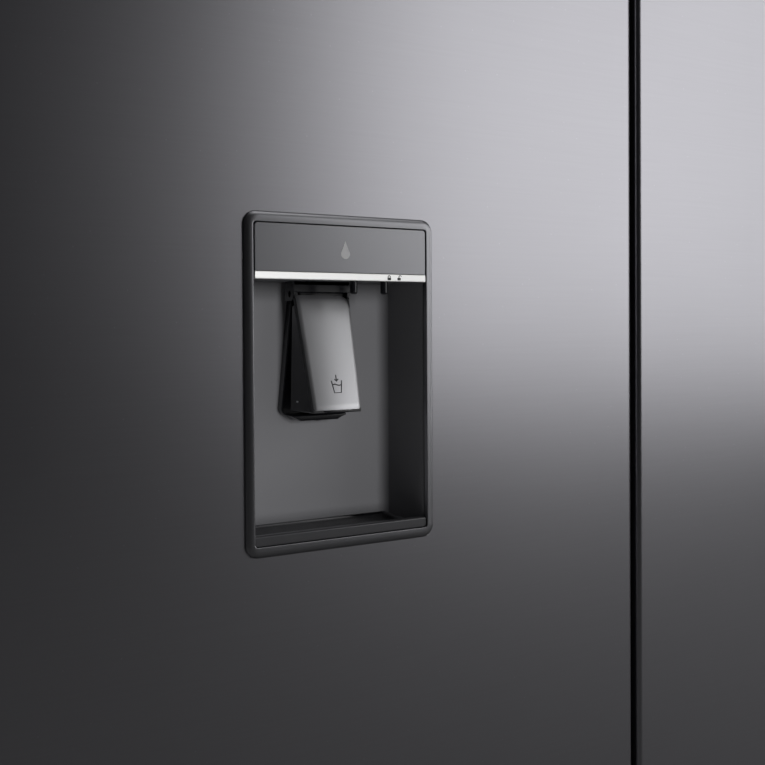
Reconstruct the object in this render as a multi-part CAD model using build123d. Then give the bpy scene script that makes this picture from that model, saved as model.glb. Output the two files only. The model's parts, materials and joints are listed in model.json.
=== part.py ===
"""French door refrigerator: two upper doors, one freezer drawer, water dispenser in the left door.

Frame: millimetres, +Z up, doors face -Y, origin on the floor at the middle of the bounding box.
The left door is the one at -X. Dispenser sizes are measured from the lower left corner of its bezel,
U to the right, D into the door from its front face, Z up.
"""

import os

from build123d import *

os.makedirs("parts", exist_ok=True)

# ---------------------------------------------------------------- whole appliance
WIDTH = 908.0
CASE_TOP = 1752.0
CASE_DEPTH = 612.0
DOOR_DEPTH = 88.0
SEAL_GAP = 12.0
BEZEL_PROUD = 3.25
COVER_HEIGHT = 30.0

HALF = WIDTH / 2
FRONT = -(BEZEL_PROUD + DOOR_DEPTH + SEAL_GAP + CASE_DEPTH) / 2
FACE = FRONT + BEZEL_PROUD
DOOR_BACK = FACE + DOOR_DEPTH
CASE_FRONT = DOOR_BACK + SEAL_GAP
CASE_BACK = CASE_FRONT + CASE_DEPTH

# ---------------------------------------------------------------- fits
SLIDE_FIT = 0.3
PIN_FIT = 0.05
RUN_FIT = 0.5
BEYOND = 20.0
PAST = 1.0

# ---------------------------------------------------------------- case
SHEET = 1.2
CASE_FOOT = 30.0
SIDE_WALL = 48.0
TOP_WALL = 55.0
BACK_WALL = 60.0
LINER = 2.5
BASE_TOP = 78.0
MACHINE_DEPTH = 215.0
MACHINE_TOP = 285.0
STEP_WALL = 50.0
FREEZER_FLOOR = 118.0
FREEZER_CEILING = 600.0
FRIDGE_FLOOR = 668.0

FRIDGE_CEILING = CASE_TOP - TOP_WALL
ROOM_HALF = HALF - SIDE_WALL
ROOM_BACK = CASE_BACK - BACK_WALL
MACHINE_FRONT = CASE_BACK - MACHINE_DEPTH
STEP_BACK = MACHINE_FRONT - STEP_WALL
STEP_TOP = MACHINE_TOP + STEP_WALL

# ---------------------------------------------------------------- doors and drawer front
CENTRE_GAP = 6.0
DRAWER_BOTTOM = 85.0
DRAWER_TOP = 634.0
DOOR_GAP = 8.0
TOP_CLEAR = 2.0
SKIN = 1.0
SKIN_RETURN = 80.0
EDGE_R = 4.0
CORNER_RELIEF = 0.3
CAP = 26.0
SEAL_INSET = 12.0
SEAL_HINGE_INSET = 24.0
SEAL_WIDTH = 12.0

DOOR_BOTTOM = DRAWER_TOP + DOOR_GAP
DOOR_TOP = CASE_TOP - TOP_CLEAR
DOOR_FREE = CENTRE_GAP / 2

# hinges
PIN_INSET = 16.0
PIN_BACK = 40.0
PIN_R = 6.0
PIN_REACH = 20.0
PIN_TIP_CLEAR = 1.0
HINGE_PLATE = 4.0
HINGE_HALF = 12.0
HINGE_LENGTH = 90.0
TOP_PLATE_REACH = 36.0
MID_PLATE_REACH = 24.0
HINGE_COVER_WALL = 2.0
HINGE_COVER_WIDTH = 88.0
HINGE_COVER_INSET = 2.0
HINGE_COVER_CORNER = 6.0
HINGE_COVER_EDGE = 3.0
HINGE_COVER_LEAD = 20.0

PIN_X = HALF - PIN_INSET
PIN_Y = FACE + PIN_BACK

# pocket grips
GRIP_WIDTH = 170.0
GRIP_FROM_EDGE = 30.0
GRIP_LIP = 10.0
GRIP_DEPTH = 24.0
GRIP_RISE = 20.0
CHANNEL_DROP = 24.0
CHANNEL_DEPTH = 40.0
DRAWER_GRIP_WIDTH = 320.0
DRAWER_GRIP_DROP = 20.0

# door liner ridges and what hangs between them
RIDGE_DEPTH = 45.0
RIDGE_WIDTH = 20.0
RIDGE_OUTER_INSET = 70.0
RIDGE_FREE_INSET = 52.0
RIDGE_BOTTOM = 690.0
RIDGE_TOP = 1675.0
CROSS_RIDGE = 15.0
LUG_SIZE = 8.0
LUG_FRONT = 20.0
LUG_DEPTH = 20.0
BIN_SIDE_CLEAR = 1.0
BIN_DEPTH = 119.0
BIN_HEIGHT = 92.0
BIN_WALL = 2.5
BIN_BACK_CLEAR = 1.0
LEFT_BINS = {"upper": 1470.0, "lower": 722.0}
RIGHT_BINS = {"upper": 1470.0, "middle": 1090.0, "lower": 722.0}

# flip mullion behind the gap between the doors
MULLION_R = 9.0
MULLION_REACH = 64.0
MULLION_BOTTOM = 706.0
MULLION_TOP = 1660.0
MULLION_PIN_R = 3.0
MULLION_PIN = 8.0
MULLION_CLEAR = 0.8
MULLION_PIVOT_X = -36.0
MULLION_LUG = 10.0
LUG_RELIEF = 1.0

# ---------------------------------------------------------------- water dispenser
BEZEL_W = 130.0
BEZEL_H = 208.5
BEZEL_FREE_MARGIN = 176.75
BEZEL_Z = 1010.0
BEZEL_SIDE = 5.46
BEZEL_TOP = 6.63
BEZEL_BOTTOM = 6.73
BEZEL_CORNER = 8.0
BEZEL_EDGE = 2.4
OPENING_CORNER = 2.0
RECESS_WALL = 2.0
RECESS_DEPTH = 55.4
RECESS_FLOOR = 3.5
RECESS_CEILING = 168.9
RECESS_CORNER = 6.0
CUTOUT_CLEAR = 0.3
STRIP_BOTTOM = 167.8
STRIP_TOP = 172.3
STRIP_SETBACK = 0.35
STRIP_THICK = 3.0
FASCIA_SETBACK = 0.6
FASCIA_THICK = 4.0
FASCIA_GAP = 0.4
HOUSING_DEPTH = 24.0

# fixed black housing behind and above the paddle
AXIS_U = 66.3
COLUMN_TOP_HALF = 15.2
COLUMN_FOOT_HALF = 24.0
COLUMN_FRONT = 47.5
COLUMN_FOOT = 79.7
COLUMN_CORNER = 5.0
HOOD_HALF = 20.5
HOOD_FRONT = 33.5
HOOD_BOTTOM = 156.0
HOOD_BROW = 161.5
HOOD_WALL = 1.0
HOOD_PLATE_ROOM = 0.7
CHEEK = 2.0
PIVOT_D = 40.0
PIVOT_Z = 160.5
PIVOT_R = 2.5
BARREL_R = 5.0
OUTLET_TOP_HALF = 20.0
OUTLET_FOOT_HALF = 13.5
OUTLET_FRONT = 38.5
OUTLET_FOOT = 76.5
OUTLET_TOP = 81.0
OUTLET_EDGE = 1.5
SPOUT_HOLE_R = 3.0
SPOUT_HOLE_D = 44.0
SPOUT_HOLE_RISE = 3.0
PEG_R = 2.4
PEG_D = 3.6
PEG_BOTTOM = 159.5
GUIDE_PEG_U = 74.9
LOCK_U = 96.8
LOCK_TRAVEL = 7.3
LOCK_SLOT_CLEAR = 0.3
LOCK_HEAD = 7.0
LOCK_HEAD_RISE = 3.0

# paddle: a plate that leans out at its foot, on a black body
PLATE_TOP_Z = 159.6
PLATE_TOP_D = 32.0
PLATE_FOOT_Z = 85.7
PLATE_FOOT_D = 9.0
PLATE_TOP_HALF = 19.2
PLATE_FOOT_HALF = 16.5
PLATE_THICK = 1.6
PLATE_CORNER = 8.0
BODY_RIM = 1.2
BODY_BACK_TOP = 40.0
BODY_BACK_FOOT = 36.0
BODY_BACK_FOOT_HALF = 22.5
BODY_FOOT_Z = 84.0
BODY_TOP_Z = 153.0
BODY_TOP_HALF = 15.4
SPRING_R = 3.4
SPRING_WIRE_R = 0.3
SPRING_PITCH = 0.75
SPRING_LENGTH = 2.0

# drip tray
TRAY_CLEAR = 0.4
TRAY_LIP_TOP = 13.33
TRAY_LIP_BOTTOM = 7.05
TRAY_LIP_FRONT = -2.1
TRAY_LIP_BACK = 2.6
TRAY_FLOOR = 1.6
TRAY_RIM = 2.2
TRAY_WALL = 1.5

# water tank behind the dispenser
TANK_BOTTOM = 962.0
TANK_HEIGHT = 258.0
TANK_DEPTH = 100.0
TANK_WALL = 2.5
TANK_SHELF = 12.0
TANK_SHELF_DEPTH = 70.0
SPOUT_R = 8.0
SPOUT_BORE_R = 4.0
SPOUT_LENGTH = 9.0
FILL_W = 90.0
FILL_D = 56.0
CAP_OVERHANG = 6.0
CAP_THICK = 3.0
CAP_TAB_W = 30.0
CAP_HINGE_R = 2.0
CAP_KNUCKLE_R = 4.0

# ---------------------------------------------------------------- fridge room
DUCT_W = 300.0
DUCT_T = 18.0
DUCT_SLOTS = 6
DUCT_SLOT_H = 10.0
DUCT_SLOT_FROM = 50.0
DUCT_EDGE = 6.0
SHELF_SETBACK = 150.0
SHELF_BACK_CLEAR = 26.0
SHELF_THICK = 12.0
SHELF_SIDE_CLEAR = 1.0
GLASS_COVER = 1.0
SHELF_RIM = 16.0
GLASS = 4.0
SHELF_LEVELS = {"upper": 1420.0, "middle": 1165.0}
LEDGE = 10.0
LEDGE_H = 7.0
COVER_LEVEL = 905.0
CRISPER_HEIGHT = 218.0
CRISPER_WALL = 3.0
CRISPER_GAP = 10.0
CRISPER_FRONT_WALL = 8.0
CRISPER_SIDE_CLEAR = 3.0
CRISPER_GRIP_W = 133.0
CRISPER_GRIP_H = 30.0
CRISPER_GRIP_DROP = 10.0

# ---------------------------------------------------------------- freezer room
RAIL_BACK_CLEAR = 37.0
RAIL_Z = 355.0
RAIL_FIXED_H = 10.0
RAIL_FIXED_T = 4.0
RAIL_MIDDLE_H = 16.0
RAIL_MIDDLE_T = 5.7
RAIL_INNER_H = 20.0
RAIL_INNER_T = 7.7
BASKET_BOTTOM = 150.0
BASKET_BACK_CLEAR = 25.0
BASKET_WALL = 3.0
BASKET_RIM = 4.0
FTRAY_HEIGHT = 92.0
FTRAY_LENGTH = 250.0
FTRAY_WALL = 3.0
EVAP_HALF = 250.0
EVAP_DEPTH = 52.0
EVAP_TOP = 505.0
EVAP_CLEAR = 6.0
EVAP_COVER = 3.0
EVAP_SPINE = 17.0
EVAP_FINS = 24
EVAP_SLOT_FROM = 60.0
EVAP_SLOT_H = 6.0
EVAP_SLOTS = 3
COVER_TOP_CLEAR = 1.0
MOTOR_R = 17.0
MOTOR_LENGTH = 12.0
SHAFT_R = 2.5
SHAFT_LENGTH = 46.0
FAN_SMALL_R = 34.0
FAN_SMALL_HUB = 9.0
FAN_SMALL_WIDTH = 16.0

# ---------------------------------------------------------------- base and machine compartment
BASE_SHEET = 2.0
PAN_Z = 50.0
MEMBER_DEPTH = 32.0
MEMBER_INSET = 8.0
MEMBER_BOTTOM = 46.0
BRACKET_HALF = 14.0
BRACKET_DROP = 8.0
ROLLER_R = 22.0
ROLLER_W = 22.0
ROLLER_X = 400.0
ROLLER_BACK = 55.0
AXLE_R = 4.0
CHEEK_STEEL = 3.0
FOOT_X = 380.0
FOOT_R = 18.0
FOOT_PAD = 10.0
STEM_R = 6.0
STEM_FIT = 0.1
STEM_TOP = 68.0
GRILLE_THICK = 8.0
GRILLE_BOTTOM = 14.0
GRILLE_TOP = 80.0
GRILLE_INSET = 6.0
GRILLE_SLOT_H = 7.0
GRILLE_SLOT_RISE = 12.0
GRILLE_SLOT_FROM = 40.0
GRILLE_SLOT_MARGIN = 80.0
GRILLE_SLOTS = 3
COMPRESSOR_X = 230.0
COMPRESSOR_R = 78.0
COMPRESSOR_TOP = 215.0
MOUNT_HEIGHT = 14.0
MOUNT_PLATE = 3.0
MOUNT_SPREAD = 64.0
MOUNT_R = 11.0
RELAY_PROUD = 14.0
RELAY_SUNK = 4.0
RELAY_HALF = 25.0
RELAY_RISE = 40.0
RELAY_HEIGHT = 60.0
DRAIN_CLEAR = 4.0
DRAIN_HEIGHT = 20.0
DRAIN_WALL = 2.0
COIL_LEFT = -400.0
COIL_RIGHT = -170.0
COIL_PITCH = 24.0
COIL_PASSES = 8
COIL_R = 4.0
COIL_PLATE = 1.2
COIL_PLATE_INSET = 10.0
FAN_R = 68.0
FAN_HUB = 18.0
FAN_WIDTH = 20.0
FAN_SHAFT_R = 3.0
FAN_X = -60.0
FAN_Z = 165.0
FAN_BLADES = 5
BLADE_ROOT = 0.75
BLADE_TWIST = 28.0
BLADE_CHORD = 1.4
BLADE_THICK = 1.6
MOUNT_BACK = 42.0
MOUNT_FRONT_CLEAR = 10.0
MOUNT_REAR_CLEAR = 20.0
MOUNT_RISE = 82.0
RING_CLEAR = 6.0
ARM_THICK = 4.0
ARM_HALF = 6.0
FAN_MOTOR_R = 16.0
FAN_MOTOR_LENGTH = 28.0
COVER_SLOT_RISE = 40.0
COVER_SLOT_FROM = 40.0
COVER_SLOT_MARGIN = 120.0
COVER_SLOT_PITCH = 20.0
COVER_SLOT_H = 8.0
COVER_SLOTS = 9
INLET_MARGIN = 60.0
INLET_RISE = 20.0
INLET_R = 12.0
INLET_BORE_R = 7.0
INLET_DEPTH = 10.0


# ---------------------------------------------------------------- places that follow from the sizes
DOOR_X = (-HALF, -DOOR_FREE)
RIDGE_LEFT = -HALF + RIDGE_OUTER_INSET
RIDGE_RIGHT = -DOOR_FREE - RIDGE_FREE_INSET
BAY = (RIDGE_LEFT + RIDGE_WIDTH, RIDGE_RIGHT - RIDGE_WIDTH)
MULLION_PIVOT_Y = CASE_FRONT + MULLION_CLEAR + MULLION_R
BEZEL_X = -DOOR_FREE - BEZEL_FREE_MARGIN - BEZEL_W
OPEN_U = (BEZEL_SIDE, BEZEL_W - BEZEL_SIDE)
LEAN = (PLATE_TOP_D - PLATE_FOOT_D) / (PLATE_TOP_Z - PLATE_FOOT_Z)
TANK_X = sum(BAY) / 2
TANK_Y = DOOR_BACK + LUG_FRONT + LUG_DEPTH
CAP_AXIS_Y = DOOR_BACK + BIN_BACK_CLEAR + (TANK_DEPTH - FILL_D) / 2 - CAP_OVERHANG
CAP_AXIS_Z = TANK_BOTTOM + TANK_HEIGHT + CAP_KNUCKLE_R + SLIDE_FIT
DRAWER_X = (-HALF, HALF)
CHANNEL_Z = DRAWER_TOP - CHANNEL_DROP
MIDDLE_X = -ROOM_HALF + RAIL_FIXED_T + SLIDE_FIT + RAIL_MIDDLE_T
INNER_X = MIDDLE_X + SLIDE_FIT + RAIL_INNER_T
COVER_Y = ROOM_BACK - EVAP_DEPTH - 2 * EVAP_CLEAR - EVAP_COVER
FAN_SMALL_Z = (EVAP_TOP + FREEZER_CEILING) / 2
MACHINE_Y = (MACHINE_FRONT + CASE_BACK) / 2
PAN_TOP = PAN_Z + BASE_SHEET
FOOT_Y = CASE_FRONT + MEMBER_DEPTH / 2
RAIL_START = CASE_FRONT + SEAL_GAP
RAIL_END = COVER_Y - RAIL_BACK_CLEAR
BASKET_Y = (CASE_FRONT + SEAL_GAP, STEP_BACK - BASKET_BACK_CLEAR)


def block(x_span, y_span, z_span):
    """A box between two limits along each axis."""
    size = [span[1] - span[0] for span in (x_span, y_span, z_span)]
    centre = [(span[1] + span[0]) / 2 for span in (x_span, y_span, z_span)]
    return Pos(*centre) * Box(*size)


def rod(radius, start, length, direction="z"):
    """A cylinder from a start point along one axis."""
    turn = {"x": Rot(0, 90, 0), "y": Rot(-90, 0, 0), "z": Rot(0, 0, 0)}[direction]
    return Pos(*start) * turn * Pos(0, 0, length / 2) * Cylinder(radius, length)


def tub(x_span, y_span, z_span, wall, floor=None):
    """An open-topped box with one wall thickness."""
    floor = wall if floor is None else floor
    hollow = block(
        (x_span[0] + wall, x_span[1] - wall),
        (y_span[0] + wall, y_span[1] - wall),
        (z_span[0] + floor, z_span[1] + BEYOND),
    )
    return block(x_span, y_span, z_span) - hollow


def upright_edges(shape, front_only=True):
    """The vertical edges of a shape, or only those at its front."""
    edges = shape.edges().filter_by(Axis.Z)
    return edges.group_by(Axis.Y)[0] if front_only else edges


def group(*shapes):
    """Separate solids that share one node."""
    solids = [solid for shape in shapes for solid in shape.solids()]
    return Compound(children=solids)


def keep(node, shape):
    """Write one sub-part to its own file."""
    export_step(shape, f"parts/{node}.step")


def other_side(shape):
    """The same shape on the other side of the appliance."""
    return mirror(shape, about=Plane.YZ)


# ================================================================ case
def cabinet_shell():
    """Folded steel wrap: sides, top and the front frame that the seals close on."""
    outer = block((-HALF, HALF), (CASE_FRONT, CASE_BACK - SHEET), (CASE_FOOT, CASE_TOP))
    inner = block(
        (-HALF + SHEET, HALF - SHEET),
        (CASE_FRONT + SHEET, CASE_BACK + BEYOND),
        (CASE_FOOT - BEYOND, CASE_TOP - SHEET),
    )
    front = (CASE_FRONT - BEYOND, CASE_FRONT + SHEET)
    below = block((-HALF + SHEET, HALF - SHEET), front, (CASE_FOOT - BEYOND, BASE_TOP))
    fridge = block((-ROOM_HALF, ROOM_HALF), front, (FRIDGE_FLOOR, FRIDGE_CEILING))
    freezer = block((-ROOM_HALF, ROOM_HALF), front, (FREEZER_FLOOR, FREEZER_CEILING))
    return outer - inner - below - fridge - freezer


def rear_panel():
    """Flat steel back above the machine compartment."""
    return block((-HALF, HALF), (CASE_BACK - SHEET, CASE_BACK), (MACHINE_TOP, CASE_TOP))


def fridge_room(grow=0.0):
    """The upper food space, grown on every side but its mouth."""
    return block(
        (-ROOM_HALF - grow, ROOM_HALF + grow),
        (CASE_FRONT + SHEET, ROOM_BACK + grow),
        (FRIDGE_FLOOR - grow, FRIDGE_CEILING + grow),
    )


def freezer_room(grow=0.0):
    """The lower food space, shallower in front of the machine compartment."""
    width = (-ROOM_HALF - grow, ROOM_HALF + grow)
    low = block(width, (CASE_FRONT + SHEET, STEP_BACK + grow), (FREEZER_FLOOR - grow, FREEZER_CEILING + grow))
    high = block(width, (CASE_FRONT + SHEET, ROOM_BACK + grow), (STEP_TOP - grow, FREEZER_CEILING + grow))
    return low + high


def cabinet_insulation():
    """Foam between the steel wrap and the two liners."""
    foam = block(
        (-HALF + SHEET, HALF - SHEET),
        (CASE_FRONT + SHEET, CASE_BACK - SHEET),
        (BASE_TOP, CASE_TOP - SHEET),
    )
    notch = block((-HALF, HALF), (MACHINE_FRONT, CASE_BACK), (0, MACHINE_TOP))
    return foam - notch - fridge_room(LINER) - freezer_room(LINER)


def ledges(level, back):
    """Pair of shelf ledges on the side walls at one level."""
    left = block(
        (-ROOM_HALF - LINER / 2, -ROOM_HALF + LEDGE),
        (CASE_FRONT + SHELF_SETBACK, back),
        (level - LEDGE_H, level),
    )
    return left + other_side(left)


def fridge_liner():
    """Formed liner of the fridge room with its shelf ledges."""
    mouth = block(
        (-ROOM_HALF, ROOM_HALF), (CASE_FRONT, ROOM_BACK), (FRIDGE_FLOOR, FRIDGE_CEILING)
    )
    liner = fridge_room(LINER) - mouth
    for level in [*SHELF_LEVELS.values(), COVER_LEVEL]:
        liner = liner + ledges(level, ROOM_BACK - SHELF_BACK_CLEAR)
    return liner


def fixed_rail():
    """Outer member of the left drawer slide, on the freezer liner's wall."""
    return block(
        (-ROOM_HALF - LINER / 2, -ROOM_HALF + RAIL_FIXED_T),
        (RAIL_START, RAIL_END),
        (RAIL_Z - RAIL_FIXED_H / 2, RAIL_Z + RAIL_FIXED_H / 2),
    )


def freezer_liner():
    """Formed liner of the freezer room with the outer members of the drawer slides."""
    low = block(
        (-ROOM_HALF, ROOM_HALF), (CASE_FRONT, STEP_BACK), (FREEZER_FLOOR, FREEZER_CEILING)
    )
    high = block(
        (-ROOM_HALF, ROOM_HALF), (CASE_FRONT, ROOM_BACK), (STEP_TOP, FREEZER_CEILING)
    )
    rail = fixed_rail()
    return freezer_room(LINER) - low - high + rail + other_side(rail)


def slot_row(x_span, y_span, z_start, pitch, height, count):
    """A stack of level slots to cut through a panel."""
    slots = Part()
    for i in range(count):
        z = z_start + i * pitch
        slots = slots + block(x_span, y_span, (z, z + height))
    return slots


def air_duct():
    """Duct panel on the fridge room's back wall, with air slots down both sides."""
    top = FRIDGE_CEILING - BEYOND
    back = (ROOM_BACK - DUCT_T, ROOM_BACK)
    panel = block((-DUCT_W / 2, DUCT_W / 2), back, (COVER_LEVEL + BEYOND, top))
    panel = fillet(upright_edges(panel), DUCT_EDGE)
    pitch = (top - COVER_LEVEL - 2 * BEYOND) / DUCT_SLOTS
    start = COVER_LEVEL + BEYOND + pitch / 2
    mouth = (ROOM_BACK - DUCT_T - PAST, ROOM_BACK - DUCT_T / 2)
    slots = slot_row((DUCT_SLOT_FROM, DUCT_W / 2 - BEYOND), mouth, start, pitch, DUCT_SLOT_H, DUCT_SLOTS)
    return panel - slots - other_side(slots)


def shelf(level):
    """Glass shelf in a plastic frame, two solids, resting on its ledges."""
    x = (-ROOM_HALF + SHELF_SIDE_CLEAR, ROOM_HALF - SHELF_SIDE_CLEAR)
    y = (CASE_FRONT + SHELF_SETBACK, ROOM_BACK - SHELF_BACK_CLEAR)
    z = (level, level + SHELF_THICK)
    opening = block(
        (x[0] + SHELF_RIM, x[1] - SHELF_RIM),
        (y[0] + SHELF_RIM, y[1] - SHELF_RIM),
        (level - PAST, level + SHELF_THICK + PAST),
    )
    seat_x = (x[0] + SHELF_RIM / 2, x[1] - SHELF_RIM / 2)
    seat_y = (y[0] + SHELF_RIM / 2, y[1] - SHELF_RIM / 2)
    seat_z = (level + SHELF_THICK - GLASS - GLASS_COVER, level + SHELF_THICK - GLASS_COVER)
    glass = block(seat_x, seat_y, seat_z)
    frame = block(x, y, z) - opening - glass
    return group(frame, glass)


def crisper():
    """Left vegetable drawer, open at the top."""
    x = (-ROOM_HALF + CRISPER_SIDE_CLEAR, -CRISPER_GAP / 2)
    y = (CASE_FRONT + SHELF_SETBACK, ROOM_BACK - SHELF_BACK_CLEAR)
    z = (FRIDGE_FLOOR + SLIDE_FIT, FRIDGE_FLOOR + SLIDE_FIT + CRISPER_HEIGHT)
    body = block(x, y, z)
    hollow = block(
        (x[0] + CRISPER_WALL, x[1] - CRISPER_WALL),
        (y[0] + CRISPER_FRONT_WALL, y[1] - CRISPER_WALL),
        (z[0] + CRISPER_WALL, z[1] + BEYOND),
    )
    middle = (x[0] + x[1]) / 2
    grip = block(
        (middle - CRISPER_GRIP_W / 2, middle + CRISPER_GRIP_W / 2),
        (y[0] - PAST, y[0] + CRISPER_FRONT_WALL / 2),
        (z[1] - CRISPER_GRIP_DROP - CRISPER_GRIP_H, z[1] - CRISPER_GRIP_DROP),
    )
    return body - hollow - grip


# ================================================================ doors
def front_skin(x_span, z_span):
    """Folded steel face of a door or drawer with returned sides."""
    outer = block(x_span, (FACE, FACE + SKIN_RETURN), z_span)
    outer = fillet(upright_edges(outer), EDGE_R)
    inner = block(
        (x_span[0] + SKIN, x_span[1] - SKIN),
        (FACE + SKIN, FACE + SKIN_RETURN + BEYOND),
        (z_span[0] - PAST, z_span[1] + PAST),
    )
    inner = fillet(upright_edges(inner), EDGE_R - SKIN)
    return outer - inner


def core_block(x_span, z_span):
    """Foam body that fills a skin up to the door's back face."""
    core = block(
        (x_span[0] + SKIN, x_span[1] - SKIN), (FACE + SKIN, DOOR_BACK), z_span
    )
    return fillet(upright_edges(core), EDGE_R - SKIN + CORNER_RELIEF)


def seal_frame(x_span, z_span):
    """Magnetic seal round the back of a door or drawer front."""
    y = (DOOR_BACK, CASE_FRONT)
    inner = block(
        (x_span[0] + SEAL_WIDTH, x_span[1] - SEAL_WIDTH),
        (y[0] - PAST, y[1] + PAST),
        (z_span[0] + SEAL_WIDTH, z_span[1] - SEAL_WIDTH),
    )
    return block(x_span, y, z_span) - inner




def door_ridges():
    """Raised frame on the back of the left door's liner."""
    y = (DOOR_BACK, DOOR_BACK + RIDGE_DEPTH)
    z = (RIDGE_BOTTOM, RIDGE_TOP)
    frame = block((RIDGE_LEFT, RIDGE_RIGHT), y, z)
    bay = block(BAY, (DOOR_BACK - PAST, y[1] + PAST), (z[0] + CROSS_RIDGE, z[1] - CROSS_RIDGE))
    return frame - bay


def lugs(level):
    """Two small ledges that carry one bin."""
    y = (DOOR_BACK + LUG_FRONT, DOOR_BACK + LUG_FRONT + LUG_DEPTH)
    z = (level - LUG_SIZE, level)
    left = block((BAY[0] - PAST, BAY[0] + LUG_SIZE), y, z)
    right = block((BAY[1] - LUG_SIZE, BAY[1] + PAST), y, z)
    return left + right


def door_core(levels):
    """Foam and formed liner of the left door, with ridges and bin lugs."""
    core = core_block(DOOR_X, (DOOR_BOTTOM + CAP, DOOR_TOP - CAP)) + door_ridges()
    for level in levels:
        core = core + lugs(level)
    return core


def pin_axis(z, length, clear):
    """Cylinder on the left door's hinge axis, for a pin or its bore."""
    return rod(PIN_R + clear, (-PIN_X, PIN_Y, z), length)


def grip_pocket():
    """Finger pocket in the underside of the left door."""
    right = -DOOR_FREE - GRIP_FROM_EDGE
    return block(
        (right - GRIP_WIDTH, right),
        (FACE + GRIP_LIP, FACE + GRIP_LIP + GRIP_DEPTH),
        (DOOR_BOTTOM - PAST, DOOR_BOTTOM + GRIP_RISE),
    )


def door_caps():
    """Plastic end caps of the left door, bored for the hinge pins."""
    top = core_block(DOOR_X, (DOOR_TOP - CAP, DOOR_TOP))
    top = top - pin_axis(DOOR_TOP - PIN_REACH, PIN_REACH + PAST, PIN_FIT)
    bottom = core_block(DOOR_X, (DOOR_BOTTOM, DOOR_BOTTOM + CAP))
    bore = pin_axis(DOOR_BOTTOM - PAST, PIN_REACH + PAST, PIN_FIT)
    return group(top, bottom - bore - grip_pocket())


def door_seal():
    """Seal of the left door."""
    x = (-HALF + SEAL_HINGE_INSET, -DOOR_FREE - SEAL_INSET)
    return seal_frame(x, (DOOR_BOTTOM + SEAL_INSET, DOOR_TOP - SEAL_INSET))


def door_bin(level):
    """Open bin between the left door's ridges."""
    x = (BAY[0] + BIN_SIDE_CLEAR, BAY[1] - BIN_SIDE_CLEAR)
    y = (DOOR_BACK + BIN_BACK_CLEAR, DOOR_BACK + BIN_BACK_CLEAR + BIN_DEPTH)
    return tub(x, y, (level, level + BIN_HEIGHT), BIN_WALL)


def top_hinge():
    """Left top bracket with the pin that drops into the door."""
    plate = block(
        (-PIN_X - HINGE_HALF, -PIN_X + TOP_PLATE_REACH),
        (PIN_Y - HINGE_HALF, CASE_FRONT + HINGE_LENGTH),
        (CASE_TOP, CASE_TOP + HINGE_PLATE),
    )
    tip = DOOR_TOP - PIN_REACH + PIN_TIP_CLEAR
    return plate + pin_axis(tip, CASE_TOP + PAST - tip, 0)


def hinge_cover():
    """Moulded cover over the left top bracket."""
    x = (-HALF + HINGE_COVER_INSET, -HALF + HINGE_COVER_INSET + HINGE_COVER_WIDTH)
    y = (PIN_Y - HINGE_COVER_LEAD, CASE_FRONT + HINGE_LENGTH + HINGE_COVER_LEAD)
    z = (CASE_TOP, CASE_TOP + COVER_HEIGHT)
    cover = block(x, y, z)
    cover = fillet(cover.edges().filter_by(Axis.Z), HINGE_COVER_CORNER)
    cover = fillet(cover.faces().sort_by(Axis.Z)[-1].edges(), HINGE_COVER_EDGE)
    hollow = block(
        (x[0] + HINGE_COVER_WALL, x[1] - HINGE_COVER_WALL),
        (y[0] + HINGE_COVER_WALL, y[1] - HINGE_COVER_WALL),
        (z[0] - PAST, z[1] - HINGE_COVER_WALL),
    )
    return cover - hollow


def mid_hinge():
    """Left lower bracket, screwed to the rail between the rooms, pin pointing up."""
    mid = (DRAWER_TOP + DOOR_BOTTOM) / 2
    plate = block(
        (-PIN_X - HINGE_HALF, -PIN_X + MID_PLATE_REACH),
        (PIN_Y - HINGE_HALF, CASE_FRONT),
        (mid - HINGE_PLATE / 2, mid + HINGE_PLATE / 2),
    )
    flange = block(
        (-PIN_X - HINGE_HALF, -PIN_X + MID_PLATE_REACH),
        (CASE_FRONT - HINGE_PLATE, CASE_FRONT),
        (mid - HINGE_PLATE / 2, mid + HINGE_PLATE / 2),
    )
    tip = DOOR_BOTTOM + PIN_REACH - PIN_TIP_CLEAR
    return plate + flange + pin_axis(mid, tip - mid, 0)


# ================================================================ flip mullion


def mullion_axis(radius, z, length):
    """Cylinder on the mullion's pivot axis."""
    return rod(radius, (MULLION_PIVOT_X, MULLION_PIVOT_Y, z), length)


def flip_mullion():
    """Heated bar folded back against the left door's edge, with its two pivot pins."""
    z = (MULLION_BOTTOM, MULLION_TOP)
    bar = block(
        (MULLION_PIVOT_X - MULLION_R, MULLION_PIVOT_X + MULLION_R),
        (MULLION_PIVOT_Y, MULLION_PIVOT_Y + MULLION_REACH),
        z,
    )
    bar = bar + mullion_axis(MULLION_R, z[0], z[1] - z[0])
    pins = mullion_axis(MULLION_PIN_R, z[0] - MULLION_PIN, z[1] - z[0] + 2 * MULLION_PIN)
    return bar + pins


def mullion_lugs():
    """Bored lugs above and below the mullion, on the left door's ridge."""
    x = (RIDGE_RIGHT - PAST, MULLION_PIVOT_X + MULLION_R - LUG_RELIEF)
    y = (MULLION_PIVOT_Y - MULLION_R + LUG_RELIEF, MULLION_PIVOT_Y + MULLION_R)
    low = (MULLION_BOTTOM - SLIDE_FIT - MULLION_LUG, MULLION_BOTTOM - SLIDE_FIT)
    high = (MULLION_TOP + SLIDE_FIT, MULLION_TOP + SLIDE_FIT + MULLION_LUG)
    both = block(x, y, low) + block(x, y, high)
    bore = mullion_axis(MULLION_PIN_R + PIN_FIT, low[0] - PAST, high[1] - low[0] + 2 * PAST)
    return both - bore


# ================================================================ water dispenser


def at_dispenser(shape):
    """Moves a shape from bezel coordinates (U, D, Z) to its place in the left door."""
    return Pos(BEZEL_X, FACE, BEZEL_Z) * shape


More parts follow.
